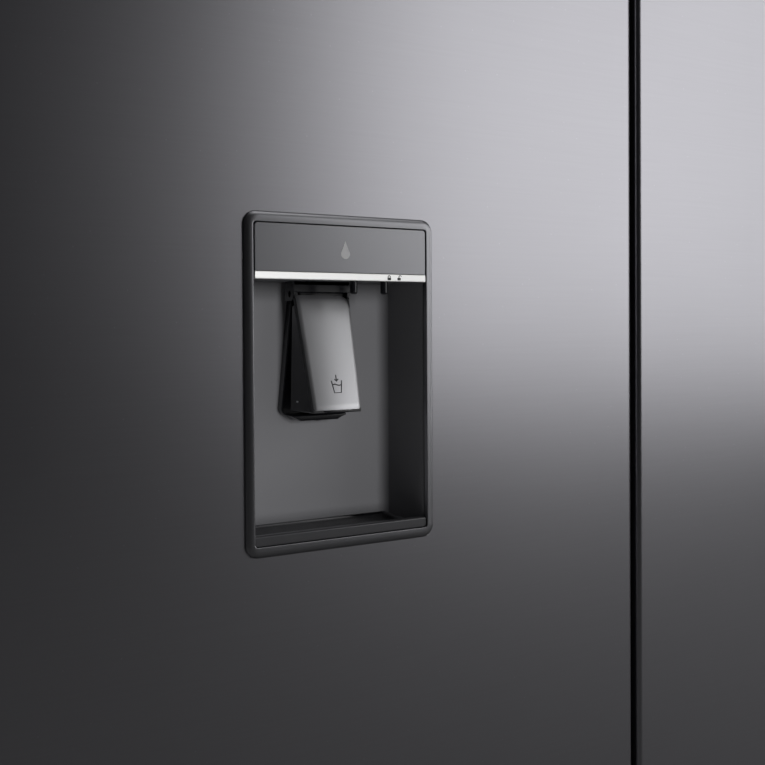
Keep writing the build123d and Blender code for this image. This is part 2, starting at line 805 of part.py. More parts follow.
def bezel():
    """Moulded frame that stands proud of the door round the recess."""
    frame = block((0, BEZEL_W), (-BEZEL_PROUD, 0), (0, BEZEL_H))
    frame = fillet(frame.edges().filter_by(Axis.Y), BEZEL_CORNER)
    frame = fillet(frame.faces().sort_by(Axis.Y)[0].edges(), BEZEL_EDGE)
    hole = block(OPEN_U, (-BEZEL_PROUD - PAST, PAST), (BEZEL_BOTTOM, BEZEL_H - BEZEL_TOP))
    hole = fillet(hole.edges().filter_by(Axis.Y), OPENING_CORNER)
    return frame - hole


def recess_outline(grow):
    """The recess shell's outside, grown for the pocket that takes it."""
    low = block(
        (OPEN_U[0] - RECESS_WALL - grow, OPEN_U[1] + RECESS_WALL + grow),
        (0, RECESS_DEPTH + RECESS_WALL + grow),
        (RECESS_FLOOR - RECESS_WALL - grow, RECESS_CEILING + RECESS_WALL + grow),
    )
    high = block(
        (OPEN_U[0] - RECESS_WALL - grow, OPEN_U[1] + RECESS_WALL + grow),
        (0, HOUSING_DEPTH + RECESS_WALL + grow),
        (RECESS_CEILING, BEZEL_H - RECESS_WALL + grow),
    )
    return low + high


def lock_slot():
    """Slot in the recess ceiling that the lock slider's stem runs in."""
    half = PEG_R + LOCK_SLOT_CLEAR
    return block(
        (LOCK_U - half, LOCK_U + LOCK_TRAVEL + half),
        (PEG_D - half, PEG_D + half),
        (RECESS_CEILING - PAST, RECESS_CEILING + RECESS_WALL + PAST),
    )


def recess():
    """Moulded shell of the glass bay, with the box above it for the fascia."""
    bay = block(OPEN_U, (-PAST, RECESS_DEPTH), (RECESS_FLOOR, RECESS_CEILING))
    rounded = bay.edges().filter_by(Axis.Z).group_by(Axis.Y)[-1]
    bay = fillet(rounded, RECESS_CORNER)
    box_floor = RECESS_CEILING + RECESS_WALL
    box = block(OPEN_U, (-PAST, HOUSING_DEPTH), (box_floor, BEZEL_H - BEZEL_TOP))
    lip = block(OPEN_U, (-PAST, STRIP_THICK), (STRIP_BOTTOM, STRIP_TOP))
    return recess_outline(0) - bay - box - lip - lock_slot()


def fascia():
    """Flat panel above the bay."""
    panel = block(
        (OPEN_U[0] + FASCIA_GAP, OPEN_U[1] - FASCIA_GAP),
        (-BEZEL_PROUD + FASCIA_SETBACK, FASCIA_THICK),
        (STRIP_TOP, BEZEL_H - BEZEL_TOP - FASCIA_GAP),
    )
    upper = panel.edges().filter_by(Axis.Y).group_by(Axis.Z)[-1]
    return fillet(upper, OPENING_CORNER)


def trim_strip():
    """Bright strip between the fascia and the bay."""
    return block(
        (OPEN_U[0] + FASCIA_GAP, OPEN_U[1] - FASCIA_GAP),
        (-BEZEL_PROUD + STRIP_SETBACK, 0),
        (STRIP_BOTTOM, STRIP_TOP),
    )


def pivot(radius, half):
    """Cylinder on the paddle's pivot axis, between two sides."""
    return rod(radius, (AXIS_U - half, PIVOT_D, PIVOT_Z), 2 * half, "x")


def outlet():
    """Water outlet: a wedge with slanted ends under the column, bored for the spout."""
    outline = Polyline(
        (AXIS_U - OUTLET_TOP_HALF, OUTLET_TOP),
        (AXIS_U + OUTLET_TOP_HALF, OUTLET_TOP),
        (AXIS_U + OUTLET_FOOT_HALF, OUTLET_FOOT),
        (AXIS_U - OUTLET_FOOT_HALF, OUTLET_FOOT),
        close=True,
    )
    length = RECESS_DEPTH - OUTLET_FRONT
    wedge = Pos(0, OUTLET_FRONT, 0) * extrude(make_face(Plane.XZ * outline), length, dir=(0, 1, 0))
    wedge = fillet(wedge.faces().sort_by(Axis.Y)[0].edges(), OUTLET_EDGE)
    start = (AXIS_U, SPOUT_HOLE_D, OUTLET_FOOT - PAST)
    return wedge - rod(SPOUT_HOLE_R, start, SPOUT_HOLE_RISE + PAST)


def hood():
    """Fixed black housing: top block with cheeks, tapered column, outlet and guide peg."""
    outline = Polyline(
        (AXIS_U - COLUMN_TOP_HALF, RECESS_CEILING),
        (AXIS_U + COLUMN_TOP_HALF, RECESS_CEILING),
        (AXIS_U + COLUMN_FOOT_HALF, COLUMN_FOOT),
        (AXIS_U - COLUMN_FOOT_HALF, COLUMN_FOOT),
        close=True,
    )
    face = make_face(Plane.XZ * outline)
    thick = RECESS_DEPTH - COLUMN_FRONT
    column = Pos(0, COLUMN_FRONT, 0) * extrude(face, thick, dir=(0, 1, 0))
    feet = column.edges().filter_by(Axis.Y).group_by(Axis.Z)[0]
    column = fillet(feet, COLUMN_CORNER)
    half = (AXIS_U - HOOD_HALF, AXIS_U + HOOD_HALF)
    inside = (half[0] + CHEEK, half[1] - CHEEK)
    top = block(half, (HOOD_FRONT, COLUMN_FRONT + PAST), (HOOD_BOTTOM, RECESS_CEILING))
    mouth = block(inside, (HOOD_FRONT - PAST, COLUMN_FRONT - RUN_FIT), (HOOD_BOTTOM - PAST, HOOD_BROW))
    room = block(
        inside,
        (HOOD_FRONT + HOOD_WALL, COLUMN_FRONT - RUN_FIT),
        (HOOD_BOTTOM - PAST, PIVOT_Z + BARREL_R + RUN_FIT),
    )
    across = (half[0] - PAST, half[1] + PAST)
    set_to = PLATE_TOP_D + PLATE_THICK + HOOD_PLATE_ROOM
    setback = block(across, (HOOD_FRONT - PAST, set_to), (HOOD_BOTTOM - PAST, HOOD_BROW))
    cover = top - mouth - room - setback - pivot(PIVOT_R + PIN_FIT, HOOD_HALF + PAST)
    peg = rod(PEG_R, (GUIDE_PEG_U, PEG_D, PEG_BOTTOM), RECESS_CEILING - PEG_BOTTOM)
    peg = fillet(peg.faces().sort_by(Axis.Z)[0].edges(), PEG_R / 2)
    return group(column + cover + outlet(), peg)




def plate_depth(z):
    """Distance of the plate's front face into the door at one height."""
    return PLATE_FOOT_D + LEAN * (z - PLATE_FOOT_Z)


def paddle_plate():
    """Painted plate that a glass pushes, leaning out at its foot."""
    outline = Polyline(
        (AXIS_U - PLATE_TOP_HALF, PLATE_TOP_Z),
        (AXIS_U + PLATE_TOP_HALF, PLATE_TOP_Z),
        (AXIS_U + PLATE_FOOT_HALF, PLATE_FOOT_Z),
        (AXIS_U - PLATE_FOOT_HALF, PLATE_FOOT_Z),
        close=True,
    )
    wall = extrude(make_face(Plane.XZ * outline), COLUMN_FRONT, dir=(0, 1, 0))
    corner = wall.edges().filter_by(Axis.Y).group_by(Axis.Z)[-1].sort_by(Axis.X)[-1]
    wall = fillet(corner, PLATE_CORNER)
    side = Polyline(
        (PLATE_TOP_D, PLATE_TOP_Z),
        (PLATE_TOP_D + PLATE_THICK, PLATE_TOP_Z),
        (PLATE_FOOT_D + PLATE_THICK, PLATE_FOOT_Z),
        (PLATE_FOOT_D, PLATE_FOOT_Z),
        close=True,
    )
    slab = extrude(make_face(Plane.YZ * side), BEZEL_W, dir=(1, 0, 0))
    return wall & slab


def section(z, front, front_half, back, back_half):
    """Closed four-sided outline of the paddle body at one height."""
    return Polyline(
        (AXIS_U - front_half, front, z),
        (AXIS_U + front_half, front, z),
        (AXIS_U + back_half, back, z),
        (AXIS_U - back_half, back, z),
        close=True,
    )


def paddle_body():
    """Black carrier behind the plate with its pivot barrel and pin."""
    foot_front = plate_depth(BODY_FOOT_Z) + PLATE_THICK
    head_front = plate_depth(BODY_TOP_Z) + PLATE_THICK
    foot = section(BODY_FOOT_Z, foot_front, PLATE_FOOT_HALF + BODY_RIM, BODY_BACK_FOOT, BODY_BACK_FOOT_HALF)
    head = section(BODY_TOP_Z, head_front, PLATE_TOP_HALF + BODY_RIM / 2, BODY_BACK_TOP, PLATE_TOP_HALF)
    body = loft([make_face(foot), make_face(head)], ruled=True)
    arm = block(
        (AXIS_U - BODY_TOP_HALF, AXIS_U + BODY_TOP_HALF),
        (PIVOT_D - BARREL_R, PIVOT_D),
        (BODY_TOP_Z - PAST, PIVOT_Z),
    )
    return body + arm + pivot(BARREL_R, BODY_TOP_HALF) + pivot(PIVOT_R, HOOD_HALF)


def paddle_spring():
    """Torsion coil round the pivot pin, between the left cheek and the barrel."""
    start = AXIS_U - HOOD_HALF + CHEEK + SPRING_WIRE_R
    coil = Helix(SPRING_PITCH, SPRING_LENGTH, SPRING_R, direction=(1, 0, 0))
    wire = sweep(Plane(origin=coil @ 0, z_dir=coil % 0) * Circle(SPRING_WIRE_R), path=coil)
    return Pos(start, PIVOT_D, PIVOT_Z) * wire


def lock_slider():
    """Lock knob under the trim strip with its captive head above the ceiling."""
    under = RECESS_CEILING + RECESS_WALL + SLIDE_FIT
    stem = rod(PEG_R, (LOCK_U, PEG_D, PEG_BOTTOM), under + PAST - PEG_BOTTOM)
    stem = fillet(stem.faces().sort_by(Axis.Z)[0].edges(), PEG_R / 2)
    head = block(
        (LOCK_U - LOCK_HEAD, LOCK_U + LOCK_HEAD),
        (FASCIA_THICK + SLIDE_FIT, 2 * LOCK_HEAD),
        (under, under + LOCK_HEAD_RISE),
    )
    neck = block(
        (LOCK_U - PEG_R, LOCK_U + PEG_R),
        (PEG_D, 2 * LOCK_HEAD),
        (under, under + SLIDE_FIT),
    )
    return stem + head + neck


def drip_tray():
    """Shallow tray with a raised front lip that lifts out of the bay."""
    x = (OPEN_U[0] + TRAY_CLEAR, OPEN_U[1] - TRAY_CLEAR)
    floor = RECESS_FLOOR
    pan = block(x, (SLIDE_FIT, RECESS_DEPTH - TRAY_CLEAR), (floor, floor + TRAY_FLOOR + TRAY_RIM))
    rear = pan.edges().filter_by(Axis.Z).group_by(Axis.Y)[-1]
    pan = fillet(rear, RECESS_CORNER)
    well = block(
        (x[0] + TRAY_WALL, x[1] - TRAY_WALL),
        (TRAY_LIP_BACK, RECESS_DEPTH - TRAY_CLEAR - TRAY_WALL),
        (floor + TRAY_FLOOR, floor + BEYOND),
    )
    well = fillet(well.edges().filter_by(Axis.Z).group_by(Axis.Y)[-1], RECESS_CORNER - TRAY_WALL)
    lip = block(x, (TRAY_LIP_FRONT, TRAY_LIP_BACK), (TRAY_LIP_BOTTOM, TRAY_LIP_TOP))
    lip = fillet(lip.edges().filter_by(Axis.Y).group_by(Axis.Z)[0], OPENING_CORNER)
    web = block(x, (SLIDE_FIT, TRAY_LIP_BACK), (floor, TRAY_LIP_TOP))
    return pan - well + lip + web


def water_tank():
    """Hollow tank behind the dispenser with a fill opening, hinge lugs and a spout."""
    x = (BAY[0] + BIN_SIDE_CLEAR, BAY[1] - BIN_SIDE_CLEAR)
    y = (DOOR_BACK + BIN_BACK_CLEAR, DOOR_BACK + BIN_BACK_CLEAR + TANK_DEPTH)
    z = (TANK_BOTTOM, TANK_BOTTOM + TANK_HEIGHT)
    tank = block(x, y, z)
    tank = fillet(tank.edges().filter_by(Axis.Z), 2 * TANK_WALL)
    hollow = block(
        (x[0] + TANK_WALL, x[1] - TANK_WALL),
        (y[0] + TANK_WALL, y[1] - TANK_WALL),
        (z[0] + TANK_WALL, z[1] - TANK_WALL),
    )
    mouth = block(fill_span(0), fill_depth(0), (z[1] - 2 * TANK_WALL, z[1] + PAST))
    spout = rod(SPOUT_R, (TANK_X, TANK_Y, z[0] - SPOUT_LENGTH), SPOUT_LENGTH + PAST)
    start = (TANK_X, TANK_Y, z[0] - SPOUT_LENGTH - PAST)
    bore = rod(SPOUT_BORE_R, start, SPOUT_LENGTH + 2 * TANK_WALL)
    ears = Part()
    for side in (-1, 1):
        ear_x = TANK_X + side * (FILL_W / 2 + CAP_OVERHANG + RUN_FIT + TANK_WALL / 2)
        ears = ears + block(
            (ear_x - TANK_WALL / 2, ear_x + TANK_WALL / 2),
            (CAP_AXIS_Y - CAP_KNUCKLE_R, CAP_AXIS_Y + CAP_KNUCKLE_R),
            (z[1] - PAST, CAP_AXIS_Z + CAP_KNUCKLE_R),
        )
    hole = rod(CAP_HINGE_R + PIN_FIT, (TANK_X - FILL_W, CAP_AXIS_Y, CAP_AXIS_Z), 2 * FILL_W, "x")
    return tank - hollow - mouth + spout + (ears - hole) - bore




def fill_span(grow):
    """Left and right limits of the tank's fill opening."""
    return (TANK_X - FILL_W / 2 - grow, TANK_X + FILL_W / 2 + grow)


def fill_depth(grow):
    """Front and back limits of the tank's fill opening."""
    middle = DOOR_BACK + BIN_BACK_CLEAR + TANK_DEPTH / 2
    return (middle - FILL_D / 2 - grow, middle + FILL_D / 2 + grow)


def tank_cap():
    """Flip-up cap over the fill opening with its hinge barrel and pin."""
    top = TANK_BOTTOM + TANK_HEIGHT + SLIDE_FIT
    depth = fill_depth(CAP_OVERHANG)
    plate = block(fill_span(CAP_OVERHANG), (CAP_AXIS_Y, depth[1]), (top, top + CAP_THICK))
    tab = block(
        (TANK_X - CAP_TAB_W / 2, TANK_X + CAP_TAB_W / 2),
        (depth[1] - PAST, depth[1] + CAP_OVERHANG),
        (top, top + CAP_THICK),
    )
    width = FILL_W + 2 * CAP_OVERHANG
    barrel = rod(CAP_KNUCKLE_R, (TANK_X - width / 2, CAP_AXIS_Y, CAP_AXIS_Z), width, "x")
    reach = width + 2 * (RUN_FIT + TANK_WALL)
    pin = rod(CAP_HINGE_R, (TANK_X - reach / 2, CAP_AXIS_Y, CAP_AXIS_Z), reach, "x")
    return plate + tab + barrel + pin


def tank_shelf():
    """Shelf on the left door's liner that carries the tank, with the spout's socket."""
    shelf_block = block(
        (BAY[0] - PAST, BAY[1] + PAST),
        (DOOR_BACK - PAST, DOOR_BACK + TANK_SHELF_DEPTH),
        (TANK_BOTTOM - TANK_SHELF, TANK_BOTTOM),
    )
    start = (TANK_X, TANK_Y, TANK_BOTTOM - TANK_SHELF - PAST)
    socket = rod(SPOUT_R + SLIDE_FIT, start, TANK_SHELF + 2 * PAST)
    return shelf_block - socket


def dispenser_pocket():
    """Hollow in the left door that takes the recess shell."""
    shell = recess_outline(CUTOUT_CLEAR)
    return at_dispenser(shell + Pos(0, -BEYOND / 2, 0) * shell)


# ================================================================ freezer drawer


def grip_channel():
    """Long finger channel along the drawer front's upper front edge."""
    x = (-HALF - PAST, HALF + PAST)
    return block(x, (FACE - PAST, FACE + CHANNEL_DEPTH), (CHANNEL_Z, DRAWER_TOP + PAST))


def drawer_pocket():
    """Deeper finger pocket in the middle of the drawer's channel."""
    return block(
        (-DRAWER_GRIP_WIDTH / 2, DRAWER_GRIP_WIDTH / 2),
        (FACE + GRIP_LIP, FACE + GRIP_LIP + GRIP_DEPTH),
        (CHANNEL_Z - DRAWER_GRIP_DROP, DRAWER_TOP),
    )


def drawer_skin():
    """Folded steel face of the freezer drawer."""
    return front_skin(DRAWER_X, (DRAWER_BOTTOM, DRAWER_TOP)) - grip_channel()


def drawer_core():
    """Foam and liner of the drawer front, with its finger channel."""
    core = core_block(DRAWER_X, (DRAWER_BOTTOM, DRAWER_TOP))
    return core - grip_channel() - drawer_pocket()


def drawer_seal():
    """Seal of the drawer front."""
    x = (-HALF + SEAL_HINGE_INSET, HALF - SEAL_HINGE_INSET)
    return seal_frame(x, (DRAWER_BOTTOM + SEAL_INSET, DRAWER_TOP - SEAL_INSET))


def slide_member(inner, thick, height, start):
    """One member of the left drawer slide."""
    return block(
        (inner - thick, inner),
        (start, RAIL_END),
        (RAIL_Z - height / 2, RAIL_Z + height / 2),
    )




def slide_middle():
    """Middle members of both drawer slides, which travel half as far as the drawer."""
    member = slide_member(MIDDLE_X, RAIL_MIDDLE_T, RAIL_MIDDLE_H, RAIL_START)
    return group(member, other_side(member))


def drawer_slides():
    """Inner members of both drawer slides, fixed to the drawer front."""
    member = slide_member(INNER_X, RAIL_INNER_T, RAIL_INNER_H, DOOR_BACK)
    return group(member, other_side(member))


def drawer_basket():
    """Deep basket that hangs on the slides by its rim."""
    half = -INNER_X - RUN_FIT
    rim_z = RAIL_Z + RAIL_INNER_H / 2
    basket = tub((-half, half), BASKET_Y, (BASKET_BOTTOM, rim_z + BASKET_RIM), BASKET_WALL)
    rim = block((-half - RAIL_INNER_T, -half + PAST), BASKET_Y, (rim_z, rim_z + BASKET_RIM))
    return basket + rim + other_side(rim)


def freezer_tray():
    """Shallow upper tray that slides along the basket's rim."""
    half = -INNER_X - RUN_FIT
    rim_z = RAIL_Z + RAIL_INNER_H / 2 + BASKET_RIM
    y = (CASE_FRONT + 2 * SEAL_GAP, CASE_FRONT + 2 * SEAL_GAP + FTRAY_LENGTH)
    z = (rim_z + SLIDE_FIT, rim_z + SLIDE_FIT + FTRAY_HEIGHT)
    return tub((-half, half), y, z, FTRAY_WALL)


# ================================================================ cooling


def evaporator():
    """Finned cooling block behind the freezer's back cover."""
    y = (ROOM_BACK - EVAP_CLEAR - EVAP_DEPTH, ROOM_BACK)
    coil = block((-EVAP_HALF, EVAP_HALF), y, (STEP_TOP, EVAP_TOP))
    pitch = 2 * EVAP_HALF / EVAP_FINS
    for i in range(EVAP_FINS):
        x = -EVAP_HALF + (i + 0.5) * pitch
        gap = (x - pitch / 3, x + pitch / 3)
        depth = (y[0] - PAST, y[1] - EVAP_SPINE)
        coil = coil - block(gap, depth, (STEP_TOP + BEYOND, EVAP_TOP + PAST))
    return coil


def evaporator_cover():
    """Back cover of the freezer room with air slots and the fan motor on its rear."""
    x = (-ROOM_HALF + RUN_FIT, ROOM_HALF - RUN_FIT)
    plate = block(x, (COVER_Y, COVER_Y + EVAP_COVER), (STEP_TOP, FREEZER_CEILING - COVER_TOP_CLEAR))
    cut = (COVER_Y - PAST, COVER_Y + EVAP_COVER + PAST)
    for side in (-1, 1):
        span = sorted((side * EVAP_HALF, side * EVAP_SLOT_FROM))
        plate = plate - slot_row(span, cut, FAN_SMALL_Z - BEYOND, BEYOND, EVAP_SLOT_H, EVAP_SLOTS)
    motor = rod(MOTOR_R, (0, COVER_Y + PAST, FAN_SMALL_Z), MOTOR_LENGTH, "y")
    shaft = rod(SHAFT_R, (0, COVER_Y + PAST, FAN_SMALL_Z), SHAFT_LENGTH, "y")
    return plate + motor + shaft


def impeller(radius, hub_r, bore_r, width):
    """Axial fan about +Z, centred on its hub, with blades rooted inside the hub."""
    wheel = Cylinder(hub_r, width)
    root = hub_r * BLADE_ROOT
    length = radius - root
    for i in range(FAN_BLADES):
        blade = Rot(BLADE_TWIST, 0, 0) * Box(length, width * BLADE_CHORD, BLADE_THICK)
        wheel = wheel + Rot(0, 0, 360 * i / FAN_BLADES) * Pos(root + length / 2, 0, 0) * blade
    return wheel - Cylinder(bore_r, width + 2 * PAST)


def evaporator_fan():
    """Small fan on the evaporator cover's motor shaft."""
    middle = COVER_Y + PAST + MOTOR_LENGTH + RUN_FIT + FAN_SMALL_WIDTH / 2
    wheel = impeller(FAN_SMALL_R, FAN_SMALL_HUB, SHAFT_R + PIN_FIT, FAN_SMALL_WIDTH)
    return Pos(0, middle, FAN_SMALL_Z) * Rot(-90, 0, 0) * wheel




def condenser_coil():
    """Serpentine condenser tube through two end plates that stand on the base pan."""
    start_z = PAN_TOP + BEYOND
    edges = []
    for i in range(COIL_PASSES):
        z = start_z + i * COIL_PITCH
        ends = (COIL_LEFT, COIL_RIGHT) if i % 2 == 0 else (COIL_RIGHT, COIL_LEFT)
        edges.append(Line((ends[0], MACHINE_Y, z), (ends[1], MACHINE_Y, z)))
        if i < COIL_PASSES - 1:
            bulge = COIL_PITCH / 2 if i % 2 == 0 else -COIL_PITCH / 2
            tip = (ends[1] + bulge, MACHINE_Y, z + COIL_PITCH / 2)
            edges.append(ThreePointArc((ends[1], MACHINE_Y, z), tip, (ends[1], MACHINE_Y, z + COIL_PITCH)))
    path = Wire(edges)
    tube = sweep(Plane(origin=path @ 0, z_dir=path % 0) * Circle(COIL_R), path=path)
    top = start_z + COIL_PASSES * COIL_PITCH
    for x in (COIL_LEFT + COIL_PLATE_INSET, COIL_RIGHT - COIL_PLATE_INSET):
        width = (x - COIL_PLATE / 2, x + COIL_PLATE / 2)
        tube = tube + block(width, (MACHINE_Y - BEYOND, MACHINE_Y + BEYOND), (PAN_TOP, top))
    return tube


def condenser_fan():
    """Fan that draws air through the condenser, on the base frame's motor shaft."""
    wheel = impeller(FAN_R, FAN_HUB, FAN_SHAFT_R + PIN_FIT, FAN_WIDTH)
    return Pos(FAN_X, MACHINE_Y, FAN_Z) * Rot(0, 90, 0) * wheel


def compressor():
    """Hermetic compressor on a foot plate with four rubber mounts."""
    foot = PAN_TOP + MOUNT_HEIGHT
    body = rod(COMPRESSOR_R, (COMPRESSOR_X, MACHINE_Y, foot + PAST), COMPRESSOR_TOP - foot)
    body = fillet(body.faces().sort_by(Axis.Z)[-1].edges(), COMPRESSOR_R / 2)
    plate = block(
        (COMPRESSOR_X - COMPRESSOR_R, COMPRESSOR_X + COMPRESSOR_R),
        (MACHINE_Y - COMPRESSOR_R, MACHINE_Y + COMPRESSOR_R),
        (foot, foot + MOUNT_PLATE),
    )
    whole = body + plate
    for x in (-MOUNT_SPREAD, MOUNT_SPREAD):
        for y in (-MOUNT_SPREAD, MOUNT_SPREAD):
            place = (COMPRESSOR_X + x, MACHINE_Y + y, PAN_TOP)
            whole = whole + rod(MOUNT_R, place, MOUNT_HEIGHT + PAST)
    side = COMPRESSOR_X - COMPRESSOR_R
    box = block(
        (side - RELAY_PROUD, side + RELAY_SUNK),
        (MACHINE_Y - RELAY_HALF, MACHINE_Y + RELAY_HALF),
        (foot + RELAY_RISE, foot + RELAY_RISE + RELAY_HEIGHT),
    )
    return whole + box


def drain_pan():
    """Open pan in front of the condenser that catches defrost water."""
    x = (COIL_LEFT + BEYOND, COIL_RIGHT - BEYOND)
    y = (MACHINE_FRONT + DRAIN_CLEAR, MACHINE_Y - BEYOND - DRAIN_CLEAR)
    return tub(x, y, (PAN_TOP, PAN_TOP + DRAIN_HEIGHT), DRAIN_WALL)


def roller_bracket():
    """Left pair of cheeks under the base pan with the roller's axle."""
    middle = CASE_BACK - ROLLER_BACK
    y = (middle - BRACKET_HALF, middle + BRACKET_HALF)
    z = (ROLLER_R - BRACKET_DROP, PAN_Z + PAST)
    half = ROLLER_W / 2 + RUN_FIT
    outer = block((-ROLLER_X - half - CHEEK_STEEL, -ROLLER_X - half), y, z)
    inner = block((-ROLLER_X + half, -ROLLER_X + half + CHEEK_STEEL), y, z)
    start = (-ROLLER_X - half - PAST, middle, ROLLER_R)
    return outer + inner + rod(AXLE_R, start, 2 * (half + PAST), "x")


def roller():
    """Left rear roller."""
    start = (-ROLLER_X - ROLLER_W / 2, CASE_BACK - ROLLER_BACK, ROLLER_R)
    wheel = rod(ROLLER_R, start, ROLLER_W, "x")
    bore = rod(AXLE_R + PIN_FIT, (start[0] - PAST, start[1], start[2]), ROLLER_W + 2 * PAST, "x")
    return wheel - bore




def front_feet():
    """Two screw feet, each a pad on a stem."""
    foot = rod(FOOT_R, (-FOOT_X, FOOT_Y, 0), FOOT_PAD) + rod(STEM_R, (-FOOT_X, FOOT_Y, PAST), STEM_TOP - PAST)
    return group(foot, other_side(foot))


def base_frame():
    """Steel base: floor under the foam, front member, machine pan, fan mount, roller brackets."""
    half = HALF - SHEET
    floor = block((-half, half), (CASE_FRONT, MACHINE_FRONT), (BASE_TOP - BASE_SHEET, BASE_TOP))
    member = block(
        (-half + MEMBER_INSET, half - MEMBER_INSET),
        (CASE_FRONT, CASE_FRONT + MEMBER_DEPTH),
        (MEMBER_BOTTOM, BASE_TOP - PAST),
    )
    low = MEMBER_BOTTOM - PAST
    bore = rod(STEM_R + STEM_FIT, (-FOOT_X, FOOT_Y, low), STEM_TOP + PAST - low)
    riser = block((-half, half), (MACHINE_FRONT - BASE_SHEET, MACHINE_FRONT), (PAN_Z, BASE_TOP))
    pan = block((-half, half), (MACHINE_FRONT - BASE_SHEET, CASE_BACK - SHEET), (PAN_Z, PAN_TOP))
    bracket = roller_bracket()
    frame = floor + member + riser + pan + bracket + other_side(bracket)
    return frame - bore - other_side(bore) + fan_mount()


def fan_mount():
    """Upright plate with a ring opening, a cross arm, and the condenser fan's motor and shaft."""
    plate_x = FAN_X - MOUNT_BACK
    y = (MACHINE_FRONT + MOUNT_FRONT_CLEAR, CASE_BACK - MOUNT_REAR_CLEAR)
    plate = block((plate_x - BASE_SHEET, plate_x), y, (PAN_TOP - PAST, FAN_Z + MOUNT_RISE))
    ring = rod(FAN_R + RING_CLEAR, (plate_x - BEYOND, MACHINE_Y, FAN_Z), 2 * BEYOND, "x")
    arm = block((plate_x - BASE_SHEET, plate_x + ARM_THICK), y, (FAN_Z - ARM_HALF, FAN_Z + ARM_HALF))
    motor = rod(FAN_MOTOR_R, (plate_x, MACHINE_Y, FAN_Z), FAN_MOTOR_LENGTH, "x")
    shaft = rod(FAN_SHAFT_R, (plate_x + ARM_THICK, MACHINE_Y, FAN_Z), MOUNT_BACK + FAN_WIDTH / 2, "x")
    return plate - ring + arm + motor + shaft


def kick_grille():
    """Slotted plinth grille below the drawer."""
    y = (CASE_FRONT - GRILLE_THICK, CASE_FRONT)
    panel = block((-HALF + GRILLE_INSET, HALF - GRILLE_INSET), y, (GRILLE_BOTTOM, GRILLE_TOP))
    cut = (y[0] - PAST, y[1] + PAST)
    start = GRILLE_BOTTOM + GRILLE_SLOT_RISE
    for side in (-1, 1):
        span = sorted((side * GRILLE_SLOT_FROM, side * (HALF - GRILLE_SLOT_MARGIN)))
        panel = panel - slot_row(span, cut, start, GRILLE_SLOT_H * 2, GRILLE_SLOT_H, GRILLE_SLOTS)
    return panel


def machine_cover():
    """Louvred rear cover of the machine compartment, with the mains lead's inlet collar."""
    y = (CASE_BACK - SHEET, CASE_BACK)
    cover = block((-HALF, HALF), y, (PAN_Z, MACHINE_TOP))
    cut = (y[0] - PAST, y[1] + PAST)
    start = PAN_Z + COVER_SLOT_RISE
    for side in (-1, 1):
        span = sorted((side * COVER_SLOT_FROM, side * (HALF - COVER_SLOT_MARGIN)))
        cover = cover - slot_row(span, cut, start, COVER_SLOT_PITCH, COVER_SLOT_H, COVER_SLOTS)
    inlet = (HALF - INLET_MARGIN, CASE_BACK - INLET_DEPTH, PAN_Z + INLET_RISE)
    collar = rod(INLET_R, inlet, INLET_DEPTH - SHEET / 2, "y")
    hole = rod(INLET_BORE_R, (inlet[0], inlet[1] - PAST, inlet[2]), INLET_DEPTH + 2 * PAST, "y")
    return cover + collar - hole


# ================================================================ write every node
def write_case():
    """The body that stands on the floor."""
    keep("cabinet_shell", cabinet_shell())
    keep("rear_panel", rear_panel())
    keep("cabinet_insulation", cabinet_insulation())
    keep("fridge_liner", fridge_liner())
    keep("freezer_liner", freezer_liner())
    keep("air_duct", air_duct())
    keep("crisper_cover", shelf(COVER_LEVEL))
    keep("base_frame", base_frame())
    keep("kick_grille", kick_grille())
    keep("machine_cover", machine_cover())
    keep("front_feet", front_feet())
    keep("top_hinges", group(top_hinge(), other_side(top_hinge())))
    keep("hinge_covers", group(hinge_cover(), other_side(hinge_cover())))
    keep("mid_hinges", group(mid_hinge(), other_side(mid_hinge())))


def write_cooling():
    """Refrigeration and air moving pieces."""
    keep("compressor", compressor())
    keep("condenser_coil", condenser_coil())
    keep("condenser_fan", condenser_fan())
    keep("drain_pan", drain_pan())
    keep("evaporator", evaporator())
    keep("evaporator_cover", evaporator_cover())
    keep("evaporator_fan", evaporator_fan())
    keep("rear_roller_left", roller())
    keep("rear_roller_right", other_side(roller()))


def write_fridge_room():
    """Shelves and drawers of the fridge room."""
    for name, level in SHELF_LEVELS.items():
        keep(f"shelf_{name}", shelf(level))
    keep("crisper_left", crisper())
    keep("crisper_right", other_side(crisper()))


def write_left_door():
    """Left door with the dispenser, tank, bins and flip mullion."""
    pocket = dispenser_pocket()
    keep("left_door_skin", front_skin(DOOR_X, (DOOR_BOTTOM, DOOR_TOP)) - pocket)
    core = door_core(LEFT_BINS.values()) + mullion_lugs() + tank_shelf()
    keep("left_door_core", core - pocket)
    keep("left_door_caps", door_caps())
    keep("left_door_seal", door_seal())
    for name, level in LEFT_BINS.items():
        keep(f"left_bin_{name}", door_bin(level))
    keep("flip_mullion", flip_mullion())
    keep("water_tank", water_tank())
    keep("tank_cap", tank_cap())


def write_dispenser():
    """The dispenser's own pieces."""
    keep("dispenser_bezel", at_dispenser(bezel()))
    keep("dispenser_recess", at_dispenser(recess()))
    keep("dispenser_fascia", at_dispenser(fascia()))
    keep("dispenser_trim_strip", at_dispenser(trim_strip()))
    keep("dispenser_hood", at_dispenser(hood()))
    keep("paddle_plate", at_dispenser(paddle_plate()))
    keep("paddle_body", at_dispenser(paddle_body()))
    keep("paddle_spring", at_dispenser(paddle_spring()))
    keep("lock_slider", at_dispenser(lock_slider()))
    keep("drip_tray", at_dispenser(drip_tray()))


